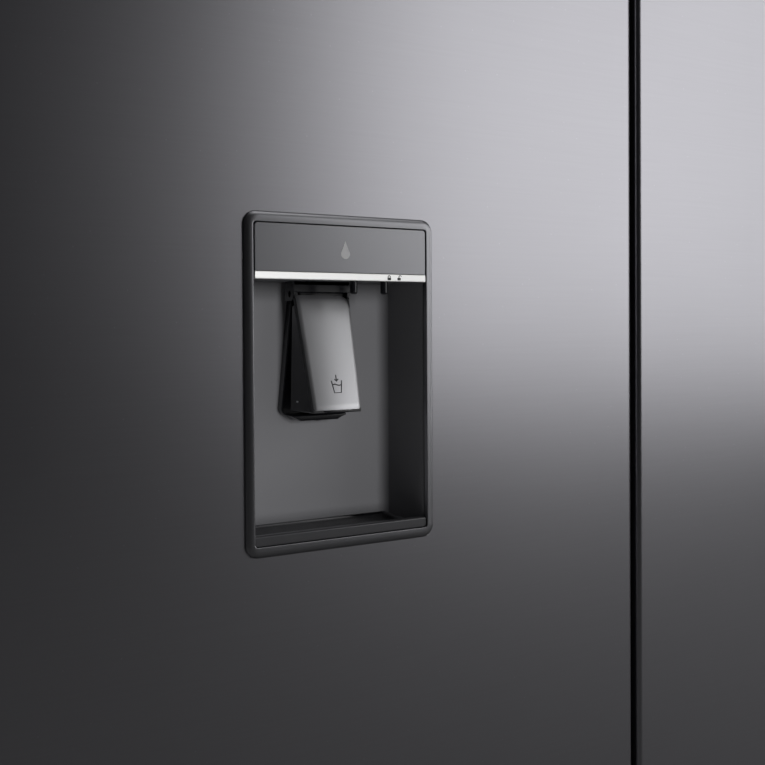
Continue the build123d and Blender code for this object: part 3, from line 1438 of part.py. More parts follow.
def write_right_door():
    """Right door with its bins."""
    keep("right_door_skin", other_side(front_skin(DOOR_X, (DOOR_BOTTOM, DOOR_TOP))))
    keep("right_door_core", other_side(door_core(RIGHT_BINS.values())))
    keep("right_door_caps", other_side(door_caps()))
    keep("right_door_seal", other_side(door_seal()))
    for name, level in RIGHT_BINS.items():
        keep(f"right_bin_{name}", other_side(door_bin(level)))


def write_drawer():
    """Freezer drawer with its slides, basket and tray."""
    keep("drawer_skin", drawer_skin())
    keep("drawer_core", drawer_core())
    keep("drawer_seal", drawer_seal())
    keep("slide_middle", slide_middle())
    keep("drawer_slides", drawer_slides())
    keep("drawer_basket", drawer_basket())
    keep("freezer_tray", freezer_tray())


write_case()
write_cooling()
write_fridge_room()
write_left_door()
write_dispenser()
write_right_door()
write_drawer()
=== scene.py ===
"""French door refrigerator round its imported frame: finishes, detailed pieces, studio and camera.

Row frame in metres, +Z up, doors face -Y. Sizes in the classes are millimetres. A dispenser size is
measured from the lower left corner of its bezel: U to the right, D into the door, Z up.
"""

import json
import logging
import math
from dataclasses import dataclass, field
from enum import Enum
from typing import Iterable, Sequence, Union

import bmesh
import bpy
from mathutils import Matrix, Vector


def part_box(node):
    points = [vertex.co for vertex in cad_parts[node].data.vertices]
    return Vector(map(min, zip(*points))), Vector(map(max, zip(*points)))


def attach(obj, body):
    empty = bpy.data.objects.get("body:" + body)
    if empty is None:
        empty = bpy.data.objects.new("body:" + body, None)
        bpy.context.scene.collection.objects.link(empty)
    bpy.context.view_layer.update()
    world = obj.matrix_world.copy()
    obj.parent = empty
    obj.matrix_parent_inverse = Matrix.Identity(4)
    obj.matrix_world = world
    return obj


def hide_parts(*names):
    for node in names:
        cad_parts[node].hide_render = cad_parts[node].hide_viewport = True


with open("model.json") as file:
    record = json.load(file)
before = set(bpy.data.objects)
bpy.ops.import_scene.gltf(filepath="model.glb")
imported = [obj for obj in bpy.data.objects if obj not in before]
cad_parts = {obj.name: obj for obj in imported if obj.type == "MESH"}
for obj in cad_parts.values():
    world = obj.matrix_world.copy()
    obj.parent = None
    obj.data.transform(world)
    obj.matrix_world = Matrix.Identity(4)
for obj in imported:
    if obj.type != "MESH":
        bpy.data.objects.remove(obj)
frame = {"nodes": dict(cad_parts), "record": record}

log = logging.getLogger("refrigerator")
MM = 0.001
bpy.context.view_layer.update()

Colour = tuple[float, float, float]
Triple = tuple[float, float, float]
Point = tuple[float, float, float]
Flat = tuple[float, float]


# ================================================================ shader arithmetic
class Tone:
    """A shader value that takes part in arithmetic."""

    def __init__(self, tree: bpy.types.NodeTree, socket: bpy.types.NodeSocket) -> None:
        """Wraps one output socket of a node tree."""
        self.tree = tree
        self.socket = socket

    def _math(self, operation: str, *values: "Operand") -> "Tone":
        """Adds one Math node.

        Args:
            operation: the Math node's operation.
            values: its inputs in order.

        Returns:
            The node's result.
        """
        node = self.tree.nodes.new("ShaderNodeMath")
        node.operation = operation
        for entry, value in zip(node.inputs, values):
            if isinstance(value, Tone):
                self.tree.links.new(value.socket, entry)
            else:
                entry.default_value = value
        return Tone(self.tree, node.outputs[0])

    def __add__(self, other: "Operand") -> "Tone":
        """Sum."""
        return self._math("ADD", self, other)

    __radd__ = __add__

    def __sub__(self, other: "Operand") -> "Tone":
        """Difference."""
        return self._math("SUBTRACT", self, other)

    def __rsub__(self, other: "Operand") -> "Tone":
        """Difference the other way round."""
        return self._math("SUBTRACT", other, self)

    def __mul__(self, other: "Operand") -> "Tone":
        """Product."""
        return self._math("MULTIPLY", self, other)

    __rmul__ = __mul__

    def clip(self, low: float, high: float) -> "Tone":
        """The value kept between two limits."""
        return self._math("MINIMUM", self._math("MAXIMUM", self, low), high)

    def sawtooth(self, top: float) -> "Tone":
        """The value folded back and forth between nought and a top."""
        return self._math("PINGPONG", self, top)


Operand = Union[Tone, float]


class Recipe:
    """The node tree of one finish, on coordinates in metres."""

    def __init__(self, name: str) -> None:
        """Starts a material with its principled surface and the piece's own coordinates."""
        self.material = bpy.data.materials.new(name)
        self.material.use_nodes = True
        self.tree = self.material.node_tree
        self.surface = self.tree.nodes["Principled BSDF"]
        self.place = self.node("ShaderNodeTexCoord", output="Object")

    def node(
        self,
        kind: str,
        settings: dict[str, object] | None = None,
        sockets: dict[object, object] | None = None,
        output: int | str = 0,
        stops: Sequence[tuple[float, Colour]] = (),
    ) -> Tone:
        """Adds one node.

        Args:
            kind: the node's type.
            settings: properties of the node, which are set first.
            sockets: input name or number, with a value or a Tone.
            output: which output is wanted.
            stops: positions and colours of a ramp.

        Returns:
            The wanted output.
        """
        made = self.tree.nodes.new(kind)
        for key, value in (settings or {}).items():
            setattr(made, key, value)
        for number, (position, colour) in enumerate(stops):
            ramp = made.color_ramp.elements
            entry = ramp[number] if number < len(ramp) else ramp.new(position)
            entry.position = position
            entry.color = (*colour, 1.0)
        for key, value in (sockets or {}).items():
            if isinstance(value, Tone):
                self.tree.links.new(value.socket, made.inputs[key])
            else:
                made.inputs[key].default_value = value
        return Tone(self.tree, made.outputs[output])

    def scaled(self, pitch: Triple) -> Tone:
        """The piece's coordinates counted in a pattern's pitch along each axis, in millimetres."""
        factors = tuple(1 / (MM * step) for step in pitch)
        return self.node("ShaderNodeVectorMath", {"operation": "MULTIPLY"}, {0: self.place, 1: factors})

    def noise(self, pitch: Triple, detail: float = 2.0) -> Tone:
        """Fractal noise of a given size along each axis, in millimetres, about a half."""
        return self.node(
            "ShaderNodeTexNoise",
            {"normalize": True},
            {"Vector": self.scaled(pitch), "Scale": 1.0, "Detail": detail},
            output="Fac",
        )

    def cells(self, pitch: float, output: str = "Color") -> Tone:
        """Crystal cells of a given size in millimetres."""
        return self.node(
            "ShaderNodeTexVoronoi", None, {"Vector": self.scaled((pitch,) * 3), "Scale": 1.0}, output
        )

    def along(self, axis: int) -> Tone:
        """One coordinate of the piece in metres."""
        return self.node("ShaderNodeSeparateXYZ", None, {0: self.place}, axis)

    def blend(self, share: Operand, first: object, second: object) -> Tone:
        """Mix of two colours.

        Args:
            share: how much of the second colour.
            first: colour or Tone.
            second: colour or Tone.

        Returns:
            The mixed colour.
        """
        whole = {6: first, 7: second}
        sockets = {key: (*value, 1.0) if isinstance(value, tuple) else value for key, value in whole.items()}
        return self.node("ShaderNodeMix", {"data_type": "RGBA"}, {0: share, **sockets}, 2)

    def relief(self, height: Tone, depth: float) -> Tone:
        """Normal of a surface with that height pattern, depth in millimetres."""
        sockets = {"Height": height, "Distance": depth * MM, "Strength": 1.0}
        return self.node("ShaderNodeBump", None, sockets, "Normal")

    def set(self, **values: object) -> None:
        """Sets sockets of the surface, whose names are given with _ for a space."""
        for key, value in values.items():
            entry = self.surface.inputs[key.replace("_", " ")]
            if isinstance(value, Tone):
                self.tree.links.new(value.socket, entry)
            else:
                entry.default_value = value


class Sky(Recipe):
    """The node tree of the surroundings, on directions."""

    def __init__(self, name: str) -> None:
        """Starts a world whose coordinates are directions."""
        self.world = bpy.data.worlds.new(name)
        self.world.use_nodes = True
        self.tree = self.world.node_tree
        self.surface = self.tree.nodes["Background"]
        self.place = self.node("ShaderNodeTexCoord", output="Generated")


# ================================================================ finishes
@dataclass(frozen=True)
class Finish:
    """A moulded, painted or cast surface with grain, uneven colour and rubbed gloss.

    Sizes are millimetres. The grain is the fine pattern, the mottle the broad one.
    """

    name: str
    colour: Colour
    roughness: float = 0.45
    metallic: float = 0.0
    coat: float = 0.0
    clear: float = 0.0
    ior: float = 1.5
    grain: Triple = (0.8, 0.8, 0.8)
    depth: float = 0.01
    mottle: float = 0.06
    mottle_pitch: float = 90.0
    smudge: float = 0.08
    smudge_pitch: Triple = (140.0, 140.0, 60.0)
    detail: float = 2.0

    def shade(self, factor: float) -> Colour:
        """The colour made lighter or darker by a factor."""
        return tuple(min(1.0, part * factor) for part in self.colour)

    def tint(self, recipe: Recipe) -> Tone:
        """Base colour with its broad unevenness."""
        broad = recipe.noise((self.mottle_pitch,) * 3, 3.0)
        return recipe.blend(broad, self.shade(1 - self.mottle), self.shade(1 + self.mottle))

    def height(self, recipe: Recipe) -> Tone:
        """Fine relief pattern."""
        return recipe.noise(self.grain, self.detail)

    def gloss(self, recipe: Recipe, grain: Tone) -> Tone:
        """Roughness with handling marks.

        Args:
            recipe: the tree being built.
            grain: the fine relief pattern.

        Returns:
            The roughness value.
        """
        wiped = recipe.noise(self.smudge_pitch, 4.0) - 0.5
        return (self.roughness + self.smudge * (2 * wiped + 0.4 * (grain - 0.5))).clip(0.03, 1.0)

    def make(self) -> bpy.types.Material:
        """Builds the material once.

        Returns:
            The material of that name.
        """
        if self.name in bpy.data.materials:
            return bpy.data.materials[self.name]
        recipe = Recipe(self.name)
        grain = self.height(recipe)
        recipe.set(
            Base_Color=self.tint(recipe),
            Roughness=self.gloss(recipe, grain),
            Normal=recipe.relief(grain, self.depth),
            Metallic=self.metallic,
            Coat_Weight=self.coat,
            Coat_Roughness=0.08,
            Transmission_Weight=self.clear,
            IOR=self.ior,
        )
        return recipe.material


@dataclass(frozen=True)
class Brushed(Finish):
    """Sheet metal with long fine brush lines and a few specks of dust."""

    dust: float = 0.0
    speck_pitch: float = 9.0
    speck_reach: float = 0.055
    speck_edge: float = 60.0

    def tint(self, recipe: Recipe) -> Tone:
        """Colour streaked along the brush lines, with pale specks.

        Args:
            recipe: the tree being built.

        Returns:
            The base colour.
        """
        streak = recipe.noise(tuple(4 * step for step in self.grain), 3.0)
        base = recipe.blend(streak, self.shade(1 - self.mottle), self.shade(1 + self.mottle))
        if not self.dust:
            return base
        far = recipe.cells(self.speck_pitch, "Distance")
        speck = ((self.speck_reach - far) * self.speck_edge).clip(0.0, 1.0) * self.dust
        return recipe.blend(speck, base, self.shade(1.5))


@dataclass(frozen=True)
class Spangled(Finish):
    """Zinc-coated sheet with crystal spangle."""

    def tint(self, recipe: Recipe) -> Tone:
        """Colour that steps from crystal to crystal."""
        crystal = recipe.node("ShaderNodeRGBToBW", None, {0: recipe.cells(self.mottle_pitch)})
        return recipe.blend(crystal, self.shade(1 - self.mottle), self.shade(1 + self.mottle))


@dataclass(frozen=True)
class Finned(Finish):
    """A fin pack: thin plates at an even pitch along X."""

    pitch: float = 5.0

    def height(self, recipe: Recipe) -> Tone:
        """Saw pattern across the fins."""
        return (recipe.along(0) * (1 / (self.pitch * MM))).sawtooth(0.5)


@dataclass(frozen=True)
class StudioFloor(Finish):
    """Pale floor that shines back darker in glossy faces."""

    shine: float = 0.12

    def tint(self, recipe: Recipe) -> Tone:
        """Pale colour, darkened where a glossy face reflects it."""
        glossy = recipe.node("ShaderNodeLightPath", output="Is Glossy Ray")
        return recipe.blend(glossy, super().tint(recipe), self.shade(self.shine))


DOOR_STEEL = Brushed(
    "door_dark_steel", (0.39, 0.385, 0.412), 0.32, 1.0, grain=(14.0, 3.0, 0.22), depth=0.0035,
    mottle=0.03, smudge=0.025, smudge_pitch=(220.0, 220.0, 320.0), dust=0.35,
)
CASE_PAINT = Finish(
    "case_dark_paint", (0.070, 0.070, 0.076), 0.42, 0.35, 0.15, grain=(1.3, 1.3, 1.3), depth=0.02,
)
ZINC = Spangled(
    "zinc_sheet", (0.56, 0.57, 0.58), 0.46, 0.9, mottle=0.16, mottle_pitch=14.0, depth=0.01,
)
FOAM = Finish("cut_foam", (0.74, 0.66, 0.42), 0.9, grain=(1.0, 1.0, 1.0), depth=0.25, mottle=0.15)
LINER = Finish(
    "liner_white", (0.80, 0.81, 0.82), 0.28, coat=0.25, grain=(2.5, 2.5, 2.5), depth=0.02, mottle=0.015,
)
SEAL = Finish(
    "seal_grey_rubber", (0.16, 0.16, 0.165), 0.62, grain=(0.5, 0.5, 0.5), depth=0.02, mottle=0.1,
)
GLOSS_BLACK = Finish(
    "gloss_black", (0.004, 0.0044, 0.005), 0.22, ior=1.18, grain=(1.6, 1.6, 1.6), depth=0.002, smudge=0.04,
)
BEZEL_GREY = Finish(
    "bezel_grey", (0.265, 0.265, 0.28), 0.33, 0.97, 0.1, grain=(0.35, 0.35, 0.35), depth=0.0025,
    mottle=0.03, smudge=0.03,
)
BAY_WALL = Finish(
    "bay_wall_grey", (0.158, 0.158, 0.166), 0.55, ior=1.15, grain=(0.3, 0.3, 0.3), depth=0.003,
    mottle=0.03, smudge=0.04,
)
# The gloss black carrier's border made grey: a painted highlight where its chamfered front edge catches
# light.
BORDER_PAINTED_HIGHLIGHT = Finish(
    "border_painted_highlight_grey", (0.040, 0.040, 0.043), 0.4, grain=(0.3, 0.3, 0.3), depth=0.003, mottle=0.05,
)
BAY_GREY = Finish(
    "bay_grey", (0.105, 0.105, 0.112), 0.34, 0.35, 0.2, grain=(0.3, 0.3, 0.3), depth=0.003,
    mottle=0.03, smudge=0.04,
)
PADDLE_PAINT = Finish(
    "paddle_silver_paint", (0.34, 0.34, 0.352), 0.42, 0.8, 0.1, grain=(0.25, 0.25, 0.25), depth=0.003,
    mottle=0.03, smudge=0.03,
)
BRIGHT_TRIM = Brushed(
    "bright_trim", (0.74, 0.74, 0.73), 0.42, 0.2, grain=(6.0, 0.12, 0.10), depth=0.0015,
    mottle=0.05, smudge=0.04,
)
CLEAR = Finish(
    "clear_bin_plastic", (0.93, 0.95, 0.96), 0.10, clear=0.9, ior=1.47, grain=(3.0, 3.0, 3.0),
    depth=0.01, mottle=0.01, smudge=0.04,
)
SHELF_GLASS = Finish(
    "shelf_glass", (0.86, 0.95, 0.92), 0.05, clear=0.92, ior=1.5, grain=(8.0, 8.0, 8.0),
    depth=0.002, mottle=0.02, smudge=0.02,
)
BLACK_PLASTIC = Finish(
    "black_plastic", (0.022, 0.022, 0.024), 0.5, grain=(0.45, 0.45, 0.45), depth=0.03, mottle=0.12,
)
CAP_PLASTIC = Finish(
    "cap_grey_plastic", (0.085, 0.085, 0.092), 0.4, grain=(0.5, 0.5, 0.5), depth=0.02, mottle=0.06,
)
HINGE_STEEL = Brushed(
    "hinge_steel", (0.50, 0.50, 0.51), 0.36, 1.0, grain=(8.0, 8.0, 0.3), depth=0.004, mottle=0.08,
)
ENAMEL = Finish(
    "black_enamel", (0.014, 0.014, 0.015), 0.3, coat=0.4, grain=(2.2, 2.2, 2.2), depth=0.05, mottle=0.15,
)
COPPER = Finish(
    "drawn_copper", (0.78, 0.36, 0.20), 0.32, 1.0, grain=(0.6, 6.0, 0.6), depth=0.004,
    mottle=0.18, mottle_pitch=30.0,
)
FINS = Finned("fin_pack", (0.72, 0.73, 0.74), 0.35, 1.0, depth=1.2, mottle=0.08)
PRINT_WHITE = Finish(
    "printed_white", (0.82, 0.82, 0.83), 0.5, grain=(0.2, 0.2, 0.2), depth=0.002, mottle=0.02,
)
PRINT_DARK = Finish(
    "printed_dark", (0.05, 0.05, 0.055), 0.45, grain=(0.2, 0.2, 0.2), depth=0.002, mottle=0.05,
)
FLOOR = StudioFloor(
    "pale_floor", (0.78, 0.78, 0.77), 0.75, grain=(3.0, 3.0, 3.0), depth=0.02,
    mottle=0.015, mottle_pitch=900.0, smudge=0.03,
)


class Slot(Enum):
    """The record's material slots, each with the finish that dresses it."""

    dark_steel = DOOR_STEEL
    case_paint = CASE_PAINT
    zinc_sheet = ZINC
    foam = FOAM
    liner_white = LINER
    seal_rubber = SEAL
    gloss_black = GLOSS_BLACK
    dispenser_grey = BAY_GREY
    paddle_paint = PADDLE_PAINT
    bright_strip = BRIGHT_TRIM
    clear_plastic = CLEAR
    shelf_glass = SHELF_GLASS
    black_plastic = BLACK_PLASTIC
    cap_plastic = CAP_PLASTIC
    hinge_steel = HINGE_STEEL
    black_enamel = ENAMEL
    copper = COPPER
    aluminium_fins = FINS


# ================================================================ mesh work
def arc(centre: Flat, radius: float, start: float, stop: float, steps: int) -> list[Flat]:
    """Points on a circular arc.

    Args:
        centre: its centre.
        radius: its radius.
        start: first angle in degrees.
        stop: last angle in degrees.
        steps: how many chords.

    Returns:
        The points, both ends included.
    """
    turns = [math.radians(start + (stop - start) * i / steps) for i in range(steps + 1)]
    return [(centre[0] + radius * math.cos(t), centre[1] + radius * math.sin(t)) for t in turns]


def rounded(a: Flat, b: Flat, radius: Union[float, Sequence[float]], steps: int = 8) -> list[Flat]:
    """Outline of a rectangle with rounded corners, counter-clockwise from the lower left.

    Args:
        a: lowest corner.
        b: highest corner.
        radius: one corner radius, or four in the order of the corners.
        steps: chords in each corner.

    Returns:
        The outline's points.
    """
    radii = [radius] * 4 if isinstance(radius, (int, float)) else list(radius)
    corners = [
        (a[0], a[1], 1, 1, 180),
        (b[0], a[1], -1, 1, 270),
        (b[0], b[1], -1, -1, 0),
        (a[0], b[1], 1, -1, 90),
    ]
    points: list[Flat] = []
    for (x, y, sx, sy, turn), r in zip(corners, radii):
        r = max(r, 0.01)
        points += arc((x + sx * r, y + sy * r), r, turn, turn + 90, steps)
    return points


def inset(low: Flat, high: Flat, by: float) -> tuple[Flat, Flat]:
    """A rectangle's corners moved inward by one distance."""
    return (low[0] + by, low[1] + by), (high[0] - by, high[1] - by)


class Work:
    """One mesh in the making, in millimetres from its own datum."""

    def __init__(self, datum: Vector | Sequence[float] = (0, 0, 0)) -> None:
        """Starts an empty mesh whose datum is a point of the row frame in metres."""
        self.mesh = bmesh.new()
        self.datum = Vector(datum)

    def ring(self, points: Iterable[Point]) -> list[bmesh.types.BMVert]:
        """Adds a ring of points."""
        return [self.mesh.verts.new(point) for point in points]

    def skin(self, rings: Sequence[Sequence[Point]], round_trip: bool = False) -> None:
        """Joins rings of equally many points.

        Args:
            rings: the rings in order.
            round_trip: whether the last ring joins the first, instead of both being filled.
        """
        made = [self.ring(points) for points in rings]
        count = len(made[0])
        pairs = list(zip(made, made[1:])) + ([(made[-1], made[0])] if round_trip else [])
        for low, high in pairs:
            for i in range(count):
                j = (i + 1) % count
                self.mesh.faces.new((low[i], low[j], high[j], high[i]))
        if not round_trip:
            self.mesh.faces.new(list(reversed(made[0])))
            self.mesh.faces.new(made[-1])

    def slab(
        self,
        outline: Sequence[Flat],
        span: Flat,
        axis: int,
        edge: float = 0.0,
        back_edge: float = 0.0,
        steps: int = 3,
    ) -> None:
        """An outline given thickness along one axis, with rounded rims.

        Args:
            outline: points on the two other axes, in axis order.
            span: start and end along the axis.
            axis: 0, 1 or 2.
            edge: rim radius at the start.
            back_edge: rim radius at the end.
            steps: chords in each rim.
        """
        middle = [sum(p[k] for p in outline) / len(outline) for k in (0, 1)]
        half = [max(abs(p[k] - middle[k]) for p in outline) for k in (0, 1)]

        def at(level: float, shrink: float) -> list[Point]:
            """The outline at one level.

            Args:
                level: place along the axis.
                shrink: how far the outline is drawn in.

            Returns:
                The ring's points.
            """
            share = [(half[k] - shrink) / half[k] for k in (0, 1)]
            ring = []
            for p in outline:
                q = [middle[k] + (p[k] - middle[k]) * share[k] for k in (0, 1)]
                q.insert(axis, level)
                ring.append(tuple(q))
            return ring

        turns = [math.radians(90 * i / steps) for i in range(steps + 1)]
        rings = [at(span[0], 0.0)]
        if edge:
            rings = [at(span[0] + edge * (1 - math.cos(t)), edge * (1 - math.sin(t))) for t in turns]
        if back_edge:
            for t in turns:
                rings.append(at(span[1] - back_edge * (1 - math.sin(t)), back_edge * (1 - math.cos(t))))
        else:
            rings.append(at(span[1], 0.0))
        self.skin(rings)

    def block(self, low: Point, high: Point, edge: float = 0.4, corner: float = 1.2, axis: int = 2) -> None:
        """A box with rounded corners along one axis and rounded rims.

        Args:
            low: lowest corner.
            high: highest corner.
            edge: rim radius.
            corner: corner radius along the axis.
            axis: the axis of the rounded corners.
        """
        others = [k for k in range(3) if k != axis]
        outline = rounded(tuple(low[k] for k in others), tuple(high[k] for k in others), corner, 4)
        self.slab(outline, (low[axis], high[axis]), axis, edge, edge, 2)

    def turned(self, profile: Sequence[Flat], centre: Point, axis: int = 2, steps: int = 24) -> None:
        """A lathe-turned shape.

        Args:
            profile: radius and height pairs.
            centre: the datum of the heights.
            axis: the axis of turning.
            steps: facets round it.
        """
        others = [k for k in range(3) if k != axis]
        rings = []
        for radius, height in profile:
            ring = []
            for x, y in arc((0, 0), max(radius, 0.02), 0, 360 - 360 / steps, steps - 1):
                point = list(centre)
                point[others[0]] += x
                point[others[1]] += y
                point[axis] += height
                ring.append(tuple(point))
            rings.append(ring)
        self.skin(rings)

    def tube(self, path: Sequence[Point], radius: float, steps: int = 10) -> None:
        """A round bar along a path.

        Args:
            path: its centre line.
            radius: its radius.
            steps: facets round it.
        """
        rings = []
        line = [Vector(point) for point in path]
        around = arc((0, 0), 1, 0, 360 - 360 / steps, steps - 1)
        side = None
        for i, point in enumerate(line):
            ahead = (line[min(i + 1, len(line) - 1)] - line[max(i - 1, 0)]).normalized()
            if side is None:
                side = ahead.orthogonal().normalized()
            side = (side - side.dot(ahead) * ahead).normalized()
            other = ahead.cross(side)
            rings.append([tuple(point + radius * (x * side + y * other)) for x, y in around])
        self.skin(rings)

    def piece(
        self, name: str, finish: Finish, body: str, slot: Slot, angle: float = 35.0
    ) -> bpy.types.Object:
        """Turns the work into a piece that rides on a body.

        Args:
            name: the piece's name.
            finish: its finish.
            body: the body it rides on.
            slot: the record's slot its finish belongs to; not used.
            angle: edges sharper than this stay sharp, in degrees.

        Returns:
            The new object.
        """
        bmesh.ops.recalc_face_normals(self.mesh, faces=self.mesh.faces)
        data = bpy.data.meshes.new(name)
        bmesh.ops.scale(self.mesh, vec=(MM,) * 3, verts=self.mesh.verts)
        bmesh.ops.translate(self.mesh, vec=self.datum, verts=self.mesh.verts)
        self.mesh.to_mesh(data)
        self.mesh.free()
        data.shade_smooth()
        data.set_sharp_from_angle(angle=math.radians(angle))
        data.materials.append(finish.make())
        made = bpy.data.objects.new(name, data)
        bpy.context.collection.objects.link(made)
        made.modifiers.new("flat_faces", "WEIGHTED_NORMAL").keep_sharp = True
        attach(made, body)
        log.info("%s: %d faces on %s", name, len(data.polygons), body)
        return made


# ================================================================ water dispenser
@dataclass
class Dispenser:
    """Bezel, bay, fascia, bright strip and the fixed black housing of the water dispenser."""

    width: float = 130.0
    height: float = 208.5
    proud: float = 3.25
    side: float = 5.46
    top: float = 6.63
    bottom: float = 6.73
    corner: float = 8.0
    opening_corner: float = 2.0
    opening_lip: float = 0.35
    hem: float = 0.8
    corner_steps: int = 10
    crown_width: float = 4.6
    flank: float = 0.7
    bay_depth: float = 55.4
    bay_floor: float = 3.5
    bay_ceiling: float = 168.9
    bay_corner: float = 6.5
    wall: float = 2.0
    pocket_depth: float = 24.0
    strip: Flat = (167.8, 172.3)
    strip_front: float = -2.9
    fascia_front: float = -2.65
    gap: float = 0.4
    left_gap: float = 1.1
    axis: float = 66.3
    hood_half: float = 20.5
    hood_front: float = 33.5
    hood_bottom: float = 156.0
    hood_brow: float = 161.5
    hood_wall: float = 1.0
    hood_room: float = 166.2
    cheek: float = 2.0
    cheek_front: float = 34.3
    column_half: Flat = (15.2, 24.0)
    column_front: float = 47.5
    column_foot: float = 79.7
    column_corner: float = 5.0
    outlet_top: Flat = (20.0, 81.0)
    outlet_foot: Flat = (13.5, 76.5)
    outlet_front: float = 38.5
    outlet_edge: float = 1.5
    neck_half: float = 12.0
    spout: Flat = (44.0, 3.4)
    peg_radius: float = 2.4
    peg_depth: float = 3.6
    peg_bottom: float = 159.5
    guide_peg: float = 74.9
    drop: Flat = (3.1, 184.2)
    lock_marks_at: Flat = (97.2, 104.4)
    lock_body: Triple = (1.2, 168.5, 170.1)
    bow_radius: float = 0.85
    mark_wire: float = 0.24

    def datum(self) -> Vector:
        """Lower left corner of the bezel on the door face, in metres."""
        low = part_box("dispenser_bezel")[0]
        return Vector((low.x, low.y + self.proud * MM, low.z))

    def opening(self, by: float = 0.0) -> tuple[Flat, Flat]:
        """Corners of the bezel's opening, drawn in by a distance."""
        return inset((self.side, self.bottom), (self.width - self.side, self.height - self.top), by)

    def build(self) -> None:
        """Builds every fixed piece of the dispenser."""
        self.bezel()
        self.bay()
        self.fascia()
        self.bright_strip()
        self.housing()
        self.outlet()
        self.peg()
        self.drop_mark()
        self.lock_marks()

    def bezel(self) -> None:
        """Crowned frame round the opening."""
        outer = (0.0, 0.0), (self.width, self.height)
        rings: list[list[Point]] = []

        def level(corners: tuple[Flat, Flat], radius: float, depth: float) -> None:
            """Adds one ring at a depth."""
            rings.append([(u, depth, z) for u, z in rounded(*corners, radius, self.corner_steps)])

        level(outer, self.corner, 0.0)
        rise = self.proud - self.flank
        for i in range(9):
            t = math.radians(90 * i / 8)
            drawn = self.crown_width * (1 - math.cos(t))
            level(inset(*outer, drawn), self.corner - 0.75 * drawn, -self.flank - rise * math.sin(t))
        lip, hem = self.opening_lip, self.hem
        for i in range(4):
            t = math.radians(90 * i / 3)
            grown = lip * (1 - math.sin(t))
            level(self.opening(-grown), self.opening_corner + grown, -self.proud + lip * (1 - math.cos(t)))
        level(self.opening(), self.opening_corner, 1.0)
        level(self.opening(-hem), self.opening_corner + hem, 1.0)
        level(self.opening(-hem), self.opening_corner + hem, 0.0)
        work = Work(self.datum())
        work.skin(rings, round_trip=True)
        piece = work.piece("bezel_frame", BEZEL_GREY, "left_door", Slot.dispenser_grey, 50)
        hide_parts("dispenser_bezel")

    def bay(self) -> None:
        """Moulded bay with rounded back corners, its floor and its ceiling."""
        work = Work(self.datum())
        left, right = self.side, self.width - self.side
        back, r, steps = self.bay_depth, self.bay_corner, self.corner_steps

        def plan(grow: float) -> list[Flat]:
            """Open outline of the bay's wall.

            Args:
                grow: how far it is moved outward.

            Returns:
                The outline's points.
            """
            points = [(right + grow, 0.0)]
            points += arc((right - r, back - r), r + grow, 0, 90, steps)
            points += arc((left + r, back - r), r + grow, 90, 180, steps)
            return points + [(left - grow, 0.0)]

        band = plan(0.0) + list(reversed(plan(self.wall)))
        span = (self.bay_floor - self.wall, self.bay_ceiling + self.wall)
        work.skin([[(u, d, z) for u, d in band] for z in span])
        for low, high in ((span[0], self.bay_floor), (self.bay_ceiling, span[1])):
            floor = plan(self.wall - 0.3)
            work.skin([[(u, d, z) for u, d in floor] for z in (low, high)])
        low, high, deep = self.bay_ceiling + self.wall, self.height - self.top + 1, self.pocket_depth
        for u in (left - self.wall, right):
            work.block((u, 0.0, low), (u + self.wall, deep, high), 0.2, 0.2)
        rear = (left - self.wall, deep - self.wall, low)
        work.block(rear, (right + self.wall, deep, high), 0.2, 0.2)
        piece = work.piece("bay_shell", BAY_WALL, "left_door", Slot.dispenser_grey, 40)
        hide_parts("dispenser_recess")

    def fascia(self) -> None:
        """Flat satin panel above the bay."""
        low = (self.side + self.left_gap, self.strip[1] + 0.15)
        outline = rounded(low, self.opening(self.gap)[1], (0.3, 0.3, 1.8, 1.8), 6)
        work = Work(self.datum())
        work.slab(outline, (self.fascia_front, 4.0), 1, 0.25, 0.0)
        piece = work.piece("fascia_panel", BEZEL_GREY, "left_door", Slot.dispenser_grey)
        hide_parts("dispenser_fascia")

    def bright_strip(self) -> None:
        """Polished strip with softened long edges."""
        work = Work(self.datum())
        outline = rounded((self.strip_front, self.strip[0]), (0.0, self.strip[1]), (0.5, 0.05, 0.05, 0.5), 5)
        span = (self.side + self.left_gap, self.width - self.side - self.gap)
        work.slab(outline, span, 0, 0.15, 0.15)
        piece = work.piece("bright_strip", BRIGHT_TRIM, "left_door", Slot.bright_strip)
        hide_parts("dispenser_trim_strip")

    def housing(self) -> None:
        """Hood over the paddle and the tapered column behind it."""
        work = Work(self.datum())
        left, right = self.axis - self.hood_half, self.axis + self.hood_half
        top, back = self.bay_ceiling, self.column_front + 1
        work.block((left, self.hood_front, self.hood_room), (right, back, top), 0.25, 0.8)
        brow = (left, self.hood_front, self.hood_brow)
        work.block(brow, (right, self.hood_front + self.hood_wall, top), 0.25, 0.4, 0)
        for u in (left, right - self.cheek):
            corner = (self.cheek_front, self.hood_bottom)
            side = rounded(corner, (back, self.hood_room + 0.5), (2.5, 0.4, 0.2, 0.2), 5)
            work.slab(side, (u, u + self.cheek), 0, 0.4, 0.4)
        narrow, wide = self.column_half
        slope = (wide - narrow) / (top - self.column_foot)
        rings = []
        for turn in range(0, 91, 15):
            t = math.radians(turn)
            drawn = self.column_corner * (1 - math.sin(t))
            level = self.column_foot + self.column_corner * (1 - math.cos(t))
            rings.append(self.column_ring(wide - drawn, level, slope))
        rings.append(self.column_ring(wide, top, slope))
        work.skin(rings)
        piece = work.piece("hood_and_column", GLOSS_BLACK, "left_door", Slot.gloss_black, 40)
        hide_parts("dispenser_hood")

